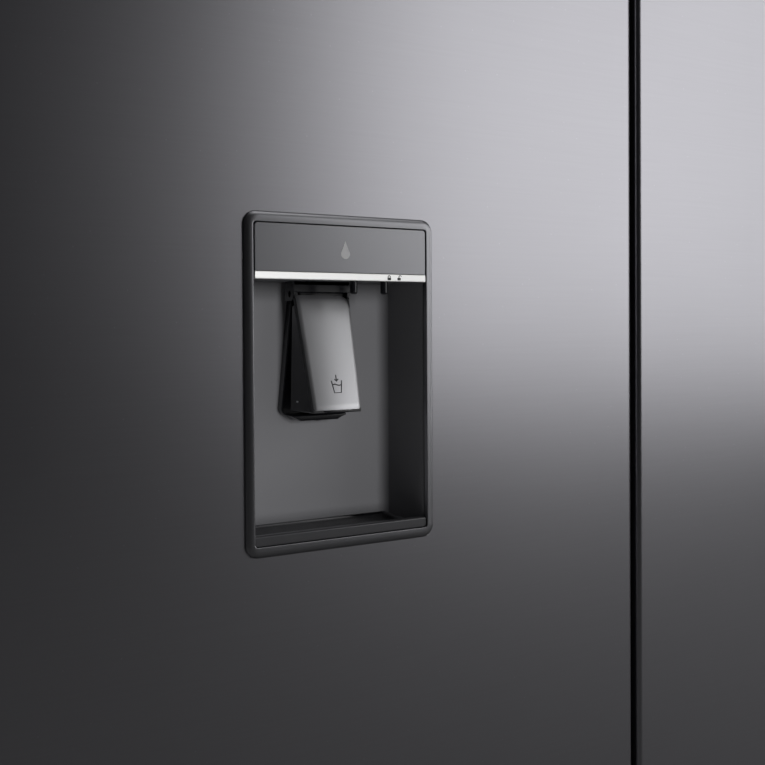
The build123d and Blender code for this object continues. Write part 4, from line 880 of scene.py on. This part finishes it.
    def column_ring(self, foot_half: float, z: float, slope: float) -> list[Point]:
        """Outline of the column at one height.

        Args:
            foot_half: half width that its sides have at the foot.
            z: the height.
            slope: how fast the half width shrinks upward.

        Returns:
            The ring's points.
        """
        half = foot_half - slope * (z - self.column_foot)
        low, high = (self.axis - half, self.column_front), (self.axis + half, self.bay_depth)
        flat = rounded(low, high, (1.2, 1.2, 0.2, 0.2), 4)
        return [(u, d, z) for u, d in flat]

    def outlet(self) -> None:
        """Wedge-shaped water outlet with a raised ring round its spout."""
        work = Work(self.datum())
        (wide, top), (narrow, foot) = self.outlet_top, self.outlet_foot
        right = [(wide, top - 1.0), (wide - 0.6, top)]
        under = [(narrow, foot), (narrow + 0.9, foot + 0.4)]
        left = [(-u, z) for u, z in reversed(right)] + [(-u, z) for u, z in reversed(under)]
        flank = [(self.axis + u, z) for u, z in right + left + under]
        work.slab(flank, (self.outlet_front, self.bay_depth), 1, self.outlet_edge, 0.0, 4)
        neck = self.neck_half
        low = (self.axis - neck, self.column_front, top - 1)
        work.block(low, (self.axis + neck, self.bay_depth, top + 6), 0.4, 1.0)
        depth, radius = self.spout
        profile = ((0.0, 0.5), (0.0, -0.2), (0.25, -0.4), (0.6, -0.3), (0.8, 0.0))
        work.turned([(radius - drawn, z) for drawn, z in profile], (self.axis, depth, foot), 2, 32)
        work.piece("water_outlet", GLOSS_BLACK, "left_door", Slot.gloss_black, 40)

    def peg(self) -> None:
        """Round-ended guide peg under the strip."""
        work = Work(self.datum())
        length = self.bay_ceiling - self.peg_bottom
        work.turned(pin_profile(self.peg_radius, length), (self.guide_peg, self.peg_depth, self.peg_bottom))
        work.piece("guide_peg", GLOSS_BLACK, "left_door", Slot.black_plastic)

    def drop_mark(self) -> None:
        """A plain drop on the fascia."""
        work = Work(self.datum())
        radius, z = self.drop
        drop = arc((self.axis, z), radius, -215, 35, 27)
        drop.append((self.axis, z + 2.6 * radius))
        work.slab(drop, (self.fascia_front - 0.06, self.fascia_front + 0.3), 1)
        work.piece("drop_mark", PRINT_WHITE, "left_door", Slot.bright_strip)

    def lock_marks(self) -> None:
        """Closed and open lock marks on the strip."""
        work = Work(self.datum())
        front = (self.strip_front - 0.05, self.strip_front + 0.3)
        (half, low, high), radius = self.lock_body, self.bow_radius
        for u, lift in zip(self.lock_marks_at, (0.0, 0.8)):
            work.slab(rounded((u - half, low), (u + half, high), 0.2, 3), front, 1)
            centre = (u + lift, high + 0.4 + lift / 3)
            bow = [(u - radius + lift, high - 0.2), *arc(centre, radius, 180, 0, 10)]
            if not lift:
                bow.append((u + radius, high - 0.2))
            work.tube([(a, self.strip_front, b) for a, b in bow], self.mark_wire, 6)
        work.piece("lock_marks", PRINT_DARK, "left_door", Slot.black_plastic)


def pin_profile(radius: float, length: float) -> list[Flat]:
    """Half outline of a pin with a rounded lower end.

    Args:
        radius: its radius.
        length: its length.

    Returns:
        Radius and height pairs.
    """
    half = radius / 2
    turns = [math.radians(15 * i) for i in range(7)]
    nose = [(half * (1 + math.sin(t)), half * (1 - math.cos(t))) for t in turns]
    return [(0.0, 0.0), *nose, (radius, length), (0.0, length)]


@dataclass
class Paddle:
    """Painted plate on its black carrier, pushed by a glass."""

    axis: float = 66.3
    top: Triple = (159.6, 32.0, 19.2)
    foot: Triple = (85.7, 9.0, 16.5)
    thickness: float = 1.6
    corner: float = 8.0
    bow: float = 1.3
    crest: float = 0.7
    roll: float = 0.5
    mesh_grid: tuple[int, int] = (28, 36)
    stripe: float = 1.4
    chamfer: float = 1.5
    rim: float = 0.55
    lip: float = 1.7
    back_top: Flat = (40.0, 19.2)
    back_foot: Flat = (36.0, 22.5)
    foot_z: float = 84.0
    head_z: float = 153.0
    mark_at: Flat = (67.3, 96.5)
    mark_wire: float = 0.42
    # Place and size of the pale spot on the carrier's flank, which is a painted highlight.
    window_at: Flat = (0.36, 90.5)
    window_half: Flat = (1.0, 0.45)
    pivot: Flat = (40.0, 160.5)
    radii: Flat = (5.0, 2.5)
    arm_half: float = 15.4
    pin_half: float = 20.5

    def between(self, z: float, entry: int) -> float:
        """One entry of foot and top, read at a height between them."""
        share = (z - self.foot[0]) / (self.top[0] - self.foot[0])
        return self.foot[entry] + share * (self.top[entry] - self.foot[entry])

    def front(self, z: float) -> float:
        """Depth of the plate's face on its centre line at one height."""
        return self.between(z, 1)

    def half(self, z: float) -> float:
        """Half width of the plate at one height."""
        return self.between(z, 2)

    def crown(self, u: float, z: float) -> float:
        """Depth of the crowned face at a point."""
        return self.front(z) - self.crest + self.bow * ((u - self.axis) / self.half(z)) ** 2

    def edge_top(self, u: float) -> float:
        """Height of the plate's upper edge, rounded down at its right corner.

        Args:
            u: place across the plate.

        Returns:
            The height.
        """
        start = self.axis + self.half(self.top[0]) - self.corner
        if u <= start:
            return self.top[0]
        drop = min(1.0, (u - start) / self.corner)
        return self.top[0] - self.corner * (1 - math.sqrt(max(0.0, 1 - drop * drop)))

    def build(self) -> None:
        """Builds the plate, its mark, its carrier and the pivot."""
        self.plate()
        self.border()
        self.mark()
        self.carrier()

    def plate(self) -> None:
        """Crowned plate with rolled edges."""
        work = Work(Dispenser().datum())
        (columns, rows), roll = self.mesh_grid, self.roll
        grid = []
        for j in range(rows + 1):
            row = []
            for i in range(columns + 1):
                s = -1 + 2 * i / columns
                z = self.foot[0] + (self.top[0] - self.foot[0]) * j / rows
                u = self.axis + s * self.half(z)
                z = self.foot[0] + (self.edge_top(u) - self.foot[0]) * j / rows
                u = self.axis + s * self.half(z)
                reaches = ((1 - abs(s)) * self.half(z), min(j, rows - j) * 2.0)
                soft = sum(roll * max(0.0, 1 - reach / (2 * roll)) ** 2 for reach in reaches)
                row.append((u, self.crown(u, z) + soft, z))
            grid.append(row)
        front = [work.ring(row) for row in grid]
        back = [work.ring([(u, d + self.thickness - 0.3, z) for u, d, z in row]) for row in grid]
        for sheet, flip in ((front, False), (back, True)):
            for j in range(rows):
                for i in range(columns):
                    quad = (sheet[j][i], sheet[j][i + 1], sheet[j + 1][i + 1], sheet[j + 1][i])
                    work.mesh.faces.new(tuple(reversed(quad)) if flip else quad)
        rim = [(0, i) for i in range(columns)] + [(j, columns) for j in range(rows)]
        rim += [(rows, i) for i in range(columns, 0, -1)] + [(j, 0) for j in range(rows, 0, -1)]
        for (a, b), (c, d) in zip(rim, rim[1:] + rim[:1]):
            work.mesh.faces.new((front[c][d], front[a][b], back[a][b], back[c][d]))
        piece = work.piece("paddle_face", PADDLE_PAINT, "paddle", Slot.paddle_paint, 60)
        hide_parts("paddle_plate")

    def border(self) -> None:
        """The black carrier's real border beside the plate's left edge and under its foot, painted grey as a
        highlight on its chamfer.
        """
        work = Work(Dispenser().datum())
        rings = []
        levels = [(self.foot_z - 0.2, 0.9), (self.foot_z + 0.3, 0.2), (self.foot_z + 1.0, 0.0)]
        levels += [(z, 0.0) for z in (120.0, 150.0, self.top[0] - 2.0)]
        for z, tuck in levels:
            half = self.half(max(z, self.foot[0]))
            left, right = self.crown(self.axis - half, z), self.crown(self.axis + half, z)
            outer = -half - self.stripe + tuck
            outline = [
                (outer, left + 1.3),
                (outer + 0.4, left + 0.9 + tuck),
                (-half + 0.6, left + 0.5 + tuck),
                (half - 0.6, right + 0.5 + tuck),
                (half + 0.2, right + 0.9 + tuck),
                (half + 0.2, right + 1.5),
                (outer, left + 1.7),
            ]
            rings.append([(self.axis + u, d, z) for u, d in outline])
        work.skin(rings)
        # The grey finish is a painted highlight on the black carrier's border.
        work.piece("plate_border", BORDER_PAINTED_HIGHLIGHT, "paddle", Slot.gloss_black)

    def mark(self) -> None:
        """Plain tumbler with a falling drop, drawn in thin lines on the plate."""
        work = Work(Dispenser().datum())
        u0, z0 = self.mark_at

        def line(points: Sequence[Flat]) -> None:
            """One raised line on the face."""
            path = [(u0 + u, self.crown(u0 + u, z0 + z) + 0.1, z0 + z) for u, z in points]
            work.tube(path, self.mark_wire, 6)

        line([(-3.6, 7.6), (-2.4, 0.0), (2.4, 0.0), (3.6, 7.6)])
        line([(-3.0, 5.0), (-1.5, 5.5), (0.0, 4.9), (1.5, 4.5), (3.1, 5.0)])
        line([(0.0, 11.2), (0.0, 7.4)])
        line([(-1.3, 8.6), (0.0, 7.2), (1.3, 8.6)])
        work.piece("tumbler_mark", PRINT_DARK, "paddle", Slot.paddle_paint)

    def carrier(self) -> None:
        """Black carrier with a chamfered front, an arm, its barrel and pin."""
        work = Work(Dispenser().datum())
        levels = [(self.foot_z, 1.6), (self.foot_z + 0.5, 0.5), (self.foot_z + 1.6, 0.0)]
        levels += [(z, 0.0) for z in range(90, 150, 6)] + [(self.head_z - 1.0, 0.0), (self.head_z, 0.8)]
        work.skin([self.carrier_ring(z, tuck) for z, tuck in levels])
        u0, (depth, level) = self.axis, self.pivot
        barrel, pin = self.radii
        low = (u0 - self.arm_half, depth - barrel, self.head_z - 1)
        work.block(low, (u0 + self.arm_half, depth, level), 0.4, 0.8)
        for radius, half in ((barrel, self.arm_half), (pin, self.pin_half)):
            profile = [(0, -half), (radius - 0.4, -half), (radius, -half + 0.4)]
            profile += [(r, -h) for r, h in reversed(profile)]
            work.turned(profile, (u0, depth, level), 0, 32)
        piece = work.piece("paddle_carrier", GLOSS_BLACK, "paddle", Slot.gloss_black, 30)
        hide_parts("paddle_body")
        # Adds the painted highlight on the carrier's left flank.
        self.window()

    def carrier_ring(self, z: float, tuck: float) -> list[Point]:
        """Outline of the carrier at one height.

        Args:
            z: the height.
            tuck: how far the outline is drawn in there.

        Returns:
            The ring's points.
        """
        share = (z - self.foot_z) / (self.head_z - self.foot_z)
        back = self.back_foot[0] + share * (self.back_top[0] - self.back_foot[0])
        back_half = self.back_foot[1] + share * (self.back_top[1] - self.back_foot[1]) - tuck
        half = self.half(max(z, self.foot[0])) - 0.25 - tuck * 0.6
        lowest = max(z, self.foot[0] - self.lip)
        ring = []
        for s in (i / 8 - 1 for i in range(17)):
            u = self.axis + half * s
            ring.append((u, self.crown(u, lowest) + self.thickness - 0.4 + 0.6 * tuck, z))
        face, edge, border = ring[-1][1], half + self.rim, half + self.chamfer
        rest = [
            (edge, face + 0.5),
            (edge + 0.3, face + 2.0),
            (back_half, back - 1.6),
            (back_half - 1.4, back),
            (-back_half + 1.4, back),
            (-back_half, back - 1.6),
            (-border, face + 2.2),
            (-border + 0.1, face + 1.5),
        ]
        return ring + [(self.axis + u, d, z) for u, d in rest]

    def window(self) -> None:
        """Small pale spot on the carrier's left flank: a painted highlight."""
        work = Work(Dispenser().datum())
        ring = self.carrier_ring(self.window_at[1], 0.0)
        back, front = Vector(ring[-3]), Vector(ring[-2])
        along = (front - back).normalized()
        middle = back + self.window_at[0] * (front - back)
        out = Vector((along.y, -along.x, 0.0))
        (half, rise), sheets = self.window_half, []
        for lift in (-0.2, 0.06):
            place = middle + out * lift
            outline = rounded((-half, -rise), (half, rise), 0.3, 4)
            sheets.append([tuple(place + along * a + Vector((0, 0, b))) for a, b in outline])
        work.skin(sheets)
        # The white print finish is used here for a painted highlight, not for print.
        work.piece("carrier_window", PRINT_WHITE, "paddle", Slot.paddle_paint)


@dataclass
class LockSlider:
    """Knob that locks the water outlet."""

    at: Flat = (96.8, 3.6)
    radius: float = 2.4
    bottom: float = 159.5
    under: float = 171.2
    ribs: int = 6
    rib_radius: float = 0.22
    head: Flat = (4.3, 14.0)
    head_half: float = 7.0
    head_height: float = 3.0

    def build(self) -> None:
        """Builds the stem with its captive head above the ceiling."""
        work = Work(Dispenser().datum())
        u, d = self.at
        work.turned(pin_profile(self.radius, self.under + 1 - self.bottom), (u, d, self.bottom))
        for i in range(self.ribs):
            t = math.radians(360 / self.ribs * i)
            u1, d1 = u + self.radius * math.cos(t), d + self.radius * math.sin(t)
            work.tube([(u1, d1, self.bottom + 2.2), (u1, d1, self.under - 3)], self.rib_radius, 6)
        low = (u - self.head_half, self.head[0], self.under)
        work.block(low, (u + self.head_half, self.head[1], self.under + self.head_height), 0.3, 0.8)
        piece = work.piece("lock_knob", GLOSS_BLACK, "lock_slider", Slot.gloss_black)
        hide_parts("lock_slider")


@dataclass
class DripTray:
    """Lift-out tray with a raised front lip and a ribbed grille."""

    left: float = 5.86
    right: float = 124.14
    front: float = 0.3
    back: float = 55.0
    floor: float = 3.5
    rim_top: float = 7.3
    lip: Triple = (-2.1, 2.6, 13.33)
    lip_bottom: float = 7.05
    corner: float = 5.6
    wall: float = 1.5
    ribs: int = 17
    rib_half: float = 0.55
    rib_inset: float = 4.0
    bar_half: float = 0.8
    bar_inset: float = 22.0

    def build(self) -> None:
        """Builds the pan with its lip, and the grille."""
        work = Work(Dispenser().datum())
        low, high = (self.left, self.front), (self.right, self.back)
        rings = []

        def level(by: float, z: float, radius: float) -> None:
            """Adds one ring of the pan."""
            a, b = inset(low, high, by)
            rings.append([(u, d, z) for u, d in rounded(a, b, (0.4, 0.4, radius, radius), 6)])

        level(0.6, self.floor, self.corner - 0.6)
        level(0.0, self.floor + 0.6, self.corner)
        level(0.0, self.rim_top - 0.4, self.corner)
        level(0.4, self.rim_top, self.corner - 0.4)
        level(self.wall - 0.4, self.rim_top, self.corner - self.wall)
        level(self.wall, self.rim_top - 0.4, self.corner - self.wall)
        level(self.wall + 0.4, self.floor + 1.6, self.corner - self.wall)
        work.skin(rings)
        d0, d1, top = self.lip
        outline = rounded((d0, self.lip_bottom), (d1, top), (0.5, 0.3, 0.9, 1.1), 6)
        u0, u1 = self.left, self.right
        rings = []
        ends = ((0.0, 1.4), (0.3, 0.7), (1.2, 0.1), (2.2, 0.0))
        stations = [(u0 + step, shrink) for step, shrink in ends]
        stations += [(u1 - step, shrink) for step, shrink in reversed(ends)]
        for u, shrink in stations:
            ring = []
            for d, z in outline:
                lift = shrink * max(0.0, 1 - (z - self.lip_bottom) / 3.0)
                ring.append((u, d, z + lift))
            rings.append(ring)
        work.skin(rings)
        work.block((self.left, self.front, self.floor), (self.right, 2.4, top - 1.2), 0.2, 0.3, 0)
        piece = work.piece("tray_pan", BAY_GREY, "drip_tray", Slot.dispenser_grey, 40)
        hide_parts("drip_tray")
        self.grille()

    def grille(self) -> None:
        """Ribbed grille inside the pan."""
        grille = Work(Dispenser().datum())
        for i in range(self.ribs):
            d = 6.0 + (self.back - 10.0) * i / (self.ribs - 1)
            low = (self.left + self.rib_inset, d - self.rib_half, self.floor + 1.7)
            high = (self.right - self.rib_inset, d + self.rib_half, self.rim_top - 0.9)
            grille.block(low, high, 0.25, 0.3, 0)
        for u in (self.left + self.bar_inset, (self.left + self.right) / 2, self.right - self.bar_inset):
            low = (u - self.bar_half, 5.0, self.floor + 1.5)
            grille.block(low, (u + self.bar_half, self.back - 3.2, self.rim_top - 1.5), 0.2, 0.3, 1)
        grille.piece("tray_grille", BAY_GREY, "drip_tray", Slot.dispenser_grey)


# ================================================================ carried-over pieces
@dataclass
class Dressing:
    """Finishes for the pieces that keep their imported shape, and softened edges on the larger ones."""

    soft: dict[float, tuple[str, ...]] = field(default_factory=lambda: {
        0.3: ("machine_cover", "rear_panel", "crisper_cover", "top_hinges", "mid_hinges"),
        0.4: (
            "cabinet_shell", "left_bin_upper", "left_bin_lower", "right_bin_upper", "right_bin_middle",
            "right_bin_lower", "freezer_tray", "drawer_basket", "crisper_left", "crisper_right",
        ),
        0.5: (
            "left_door_skin", "right_door_skin", "drawer_skin", "left_door_caps", "right_door_caps",
            "kick_grille", "flip_mullion",
        ),
        0.6: ("drawer_core", "tank_cap"),
        0.8: ("evaporator_cover", "air_duct"),
        1.0: ("hinge_covers",),
    })

    weld_reach: float = 0.00001
    sharp: float = 50.0
    segments: int = 2

    def build(self) -> None:
        """Gives every node its finish and softens the edges of the listed ones."""
        slots = {part["node"]: part["material_slot"] for part in frame["record"]["subparts"]}
        for node, piece in frame["nodes"].items():
            finish = Slot[slots[node]].value
            for entry in piece.material_slots:
                entry.material = finish.make()
            if not piece.material_slots:
                piece.data.materials.append(finish.make())
            for width, nodes in self.soft.items():
                if node in nodes:
                    self.soften(piece, width)
            log.info("%s: %s", node, finish.name)

    def soften(self, piece: bpy.types.Object, width: float) -> None:
        """Rounds a piece's sharp edges.

        Args:
            piece: the object of a node.
            width: edge radius in millimetres.
        """
        piece.modifiers.new("joined", "WELD").merge_threshold = self.weld_reach
        bevel = piece.modifiers.new("soft_edges", "BEVEL")
        bevel.width, bevel.segments = width * MM, self.segments
        bevel.limit_method, bevel.angle_limit = "ANGLE", math.radians(self.sharp)
        bevel.use_clamp_overlap, bevel.harden_normals = True, False
        piece.modifiers.new("flat_faces", "WEIGHTED_NORMAL").keep_sharp = True


# ================================================================ studio
@dataclass(frozen=True)
class SoftBox:
    """A soft light aimed at the middle of the appliance, in metres, watts and degrees.

    The azimuth runs from -Y towards +X, and the elevation from the aim's level up. With lit given,
    it lights those pieces only.
    """

    name: str
    azimuth: float
    elevation: float
    size: Flat
    power: float
    distance: float = 6.0
    lit: tuple[str, ...] = ()
    aim: Point = (-0.24, -0.35, 1.1)

    def build(self) -> None:
        """Adds the light to the scene."""
        data = bpy.data.lights.new(self.name, "AREA")
        data.shape, data.energy = "RECTANGLE", self.power
        data.size, data.size_y = self.size
        made = bpy.data.objects.new(self.name, data)
        bpy.context.collection.objects.link(made)
        a, e = math.radians(self.azimuth), math.radians(self.elevation)
        way = Vector((math.sin(a) * math.cos(e), -math.cos(a) * math.cos(e), math.sin(e)))
        turn = way.to_track_quat("Z", "Y").to_matrix().to_4x4()
        made.matrix_world = Matrix.Translation(Vector(self.aim) + self.distance * way) @ turn
        made.visible_camera = False
        if self.lit:
            made.light_linking.receiver_collection = bpy.data.collections.new(f"{self.name}_on")
        for piece in self.lit:
            made.light_linking.receiver_collection.objects.link(bpy.data.objects[piece])


SOFT_BOXES = (
    SoftBox("main_box", 44.5, 14.5, (4.2, 4.0), 90.0),
    SoftBox("left_fill", -115.0, 25.0, (2.5, 2.5), 70.0),
    SoftBox("right_fill", 100.0, 20.0, (2.5, 2.5), 60.0),
    SoftBox("back_box", 205.0, 30.0, (3.0, 3.0), 120.0),
    SoftBox("back_fill", 150.0, 25.0, (3.0, 3.0), 80.0),
    SoftBox("overhead", 180.0, 80.0, (3.0, 3.0), 60.0, distance=5.0),
    SoftBox("bay_fill", 2.0, 6.0, (1.2, 1.6), 205.0, lit=("bay_shell", "bright_strip")),
    SoftBox("edge_light", 84.0, 8.0, (1.8, 3.0), 46.0, lit=("bezel_frame", "paddle_face", "lock_knob")),
    SoftBox("crown_light", 34.0, 62.0, (4.0, 3.0), 46.0, lit=("bezel_frame",)),
    SoftBox("plate_light", 38.0, 12.0, (3.6, 2.4), 65.0, lit=("paddle_face",)),
)


@dataclass
class Studio:
    """Pale floor, soft lights and the camera."""

    focal: float = 42.35
    sensor: float = 36.0
    shift_y: float = -0.0566
    place: Point = (-0.48738, -0.86577, 1.14756)
    yaw: float = 0.4876
    pitch: float = 0.0120
    roll: float = -0.0057
    dim: Colour = (0.010, 0.010, 0.011)
    pale: Colour = (0.50, 0.50, 0.51)
    backdrop: Colour = (0.72, 0.72, 0.73)
    behind: Flat = (2.5, -0.3)
    reach: float = 7.0

    def build(self) -> None:
        """Sets up everything that isn't the object."""
        self.camera()
        self.floor()
        self.world()
        for box in SOFT_BOXES:
            box.build()
        scene = bpy.context.scene
        scene.view_settings.view_transform = "Standard"
        scene.view_settings.look = "None"

    def camera(self) -> None:
        """Camera level with the dispenser, turned towards the doors' meeting edge."""
        data = bpy.data.cameras.new("camera")
        data.lens, data.sensor_width, data.shift_y = self.focal, self.sensor, self.shift_y
        data.clip_start, data.clip_end = 0.05, 50.0
        data.dof.use_dof = False
        made = bpy.data.objects.new("camera", data)
        bpy.context.collection.objects.link(made)
        level = math.cos(self.pitch)
        ahead = Vector((math.sin(self.yaw) * level, math.cos(self.yaw) * level, -math.sin(self.pitch)))
        right = Vector((math.cos(self.yaw), -math.sin(self.yaw), 0.0))
        up = right.cross(ahead)
        across = math.cos(self.roll) * right + math.sin(self.roll) * up
        upward = -math.sin(self.roll) * right + math.cos(self.roll) * up
        turn = Matrix((across, upward, -ahead)).transposed().to_4x4()
        made.matrix_world = Matrix.Translation(self.place) @ turn
        bpy.context.scene.camera = made

    def floor(self) -> None:
        """Large pale floor under the feet."""
        data = bpy.data.meshes.new("studio_floor")
        corners = [(x * self.reach, y * self.reach, 0) for x, y in ((-1, -1), (1, -1), (1, 1), (-1, 1))]
        data.from_pydata(corners, [], [(0, 1, 2, 3)])
        made = bpy.data.objects.new("studio_floor", data)
        bpy.context.collection.objects.link(made)
        data.materials.append(FLOOR.make())

    def world(self) -> None:
        """Pale backdrop, and surroundings that are dim in front and pale behind."""
        sky = Sky("studio")
        slope, offset = self.behind
        behind = (sky.along(1) * slope + offset).clip(0.0, 1.0)
        light = sky.blend(behind, self.dim, self.pale)
        seen = sky.node("ShaderNodeLightPath", output="Is Camera Ray")
        sky.set(Color=sky.blend(seen, light, self.backdrop), Strength=1.0)
        bpy.context.scene.world = sky.world


def main() -> None:
    """Builds the appliance's pieces in order, then the studio."""
    logging.basicConfig(level=logging.INFO, format="%(message)s")
    Dressing().build()
    for maker in (Dispenser(), Paddle(), LockSlider(), DripTray()):
        maker.build()
    Studio().build()


if __name__ == "__main__":
    main()
